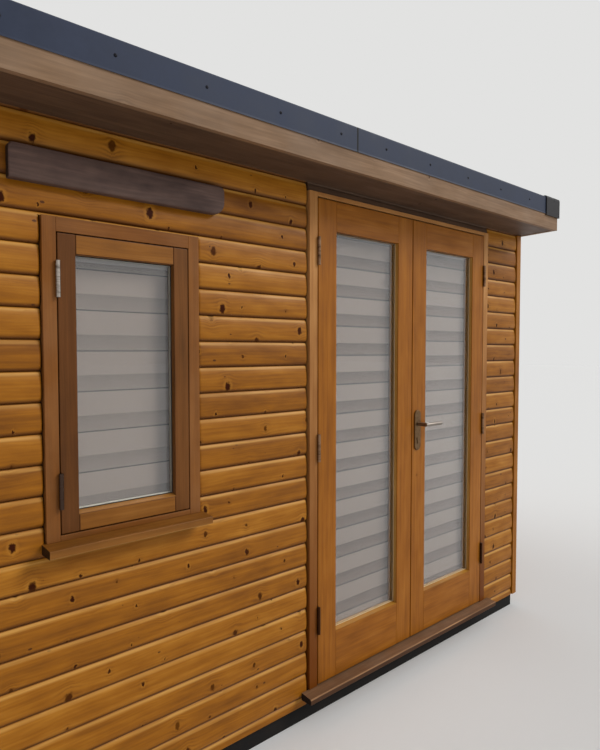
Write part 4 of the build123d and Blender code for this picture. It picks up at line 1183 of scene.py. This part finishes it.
dress(bearerFinish, "base_bearers")
dress(floorTimber, "floor_deck")
dress(liningTimber, "front_wall_left", "front_wall_right", "front_wall_over_doors", "back_wall")
dress(liningAlongSide, "left_wall", "right_wall", "roof_panel")
dress(cornerTimber, "corner_trims")
dress(soffitTimber, "soffits")
dress(rubberFinish, "roof_membrane")
dress(fasciaAlongFront, "front_fascia", "back_fascia")
dress(fasciaAlongSide, "left_fascia", "right_fascia")
dress(frontTrimFinish, "front_edge_trim_left", "front_edge_trim_right")
dress(trimFinish, "left_edge_trim", "right_edge_trim", "back_edge_trim")
dress(cornerFinish, "edge_trim_corners")
dress(sillTimber, "window_sill")
dress(thresholdTimber, "door_threshold")
dress(glassFinish, "window_glass", "left_glass", "right_glass")
dress(hingeFinish, "frame_hinges", "left_leaf_hinges", "right_leaf_hinges")
dress(brightHinge, "window_hinges")
dress(plateFinish, "handle_plates")
dress(handleFinish, "door_lever")
dress(blindPlastic, "window_blind_cassette", "left_blind_cassette", "right_blind_cassette")
print("CAD pieces dressed")


# Floor, light and camera

studio = {
    "floor": "#EBEAE7", "floorReach": 60, "backdrop": "#E2E2E1", "skyTint": "#F4F6FA", "sky": 0.5,
    "suns": (  # name, strength, where it stands, spread in degrees
        ("keySun", 1.75, (1.0, -0.95, 0.95), 24),
        ("backSun", 0.7, (-0.8, 1.0, 1.0), 40),
    ),
}
view = {  # where the photo was taken from, degrees, and millimetres of lens and sensor
    "spot": (-1.255, -3.071, 1.509), "heading": 47.89, "pitch": -2.35, "lens": 28.8, "sensor": 36.0,
}


def studioFloor():
    reach = studio["floorReach"]
    corners = [(-reach, -reach, 0), (reach, -reach, 0), (reach, reach, 0), (-reach, reach, 0)]
    mesh = bpy.data.meshes.new("studioFloor")
    mesh.from_pydata(corners, [], [(0, 1, 2, 3)])
    material, tree = newMaterial("paleStudioFloor")
    shader = addNode(tree, "BsdfPrincipled", {
        "Base Color": studio["floor"], "Roughness": 0.85, "Specular IOR Level": 0.1,
    })
    addNode(tree, "OutputMaterial", {0: shader})
    mesh.materials.append(material)
    newObject("studioFloor", mesh)


def studioLight():
    world = bpy.data.worlds.new("studio")
    bpy.context.scene.world = world
    world.use_nodes = True
    tree = world.node_tree
    tree.nodes.clear()
    path = addNode(tree, "LightPath").outputs
    seen = path["Is Camera Ray"]
    for ray in ("Is Glossy Ray", "Is Transmission Ray"):
        seen = addNode(tree, "Math", {0: seen, 1: path[ray]}, operation="MAXIMUM")
    lit = addNode(tree, "Background", {"Color": studio["skyTint"], "Strength": studio["sky"]})
    shown = addNode(tree, "Background", {"Color": studio["backdrop"], "Strength": 1.0})
    mixed = addNode(tree, "MixShader", {0: seen, 1: lit, 2: shown})
    addNode(tree, "OutputWorld", {0: mixed})
    for name, strength, spot, spread in studio["suns"]:
        lamp = bpy.data.lights.new(name, "SUN")
        lamp.energy, lamp.angle = strength, radians(spread)
        holder = newObject(name, lamp)
        holder.rotation_euler = Vector(spot).to_track_quat("Z", "Y").to_euler()


def camera():
    data = bpy.data.cameras.new("camera")
    data.sensor_width, data.lens = view["sensor"], view["lens"]
    holder = newObject("camera", data)
    heading, pitch = radians(view["heading"]), radians(view["pitch"])
    ahead = Vector((cos(heading) * cos(pitch), sin(heading) * cos(pitch), sin(pitch)))
    holder.location = view["spot"]
    holder.rotation_euler = ahead.to_track_quat("-Z", "Y").to_euler()
    bpy.context.scene.camera = holder


studioFloor()
studioLight()
camera()
bpy.context.scene.view_settings.view_transform = "Standard"

print("scene done")
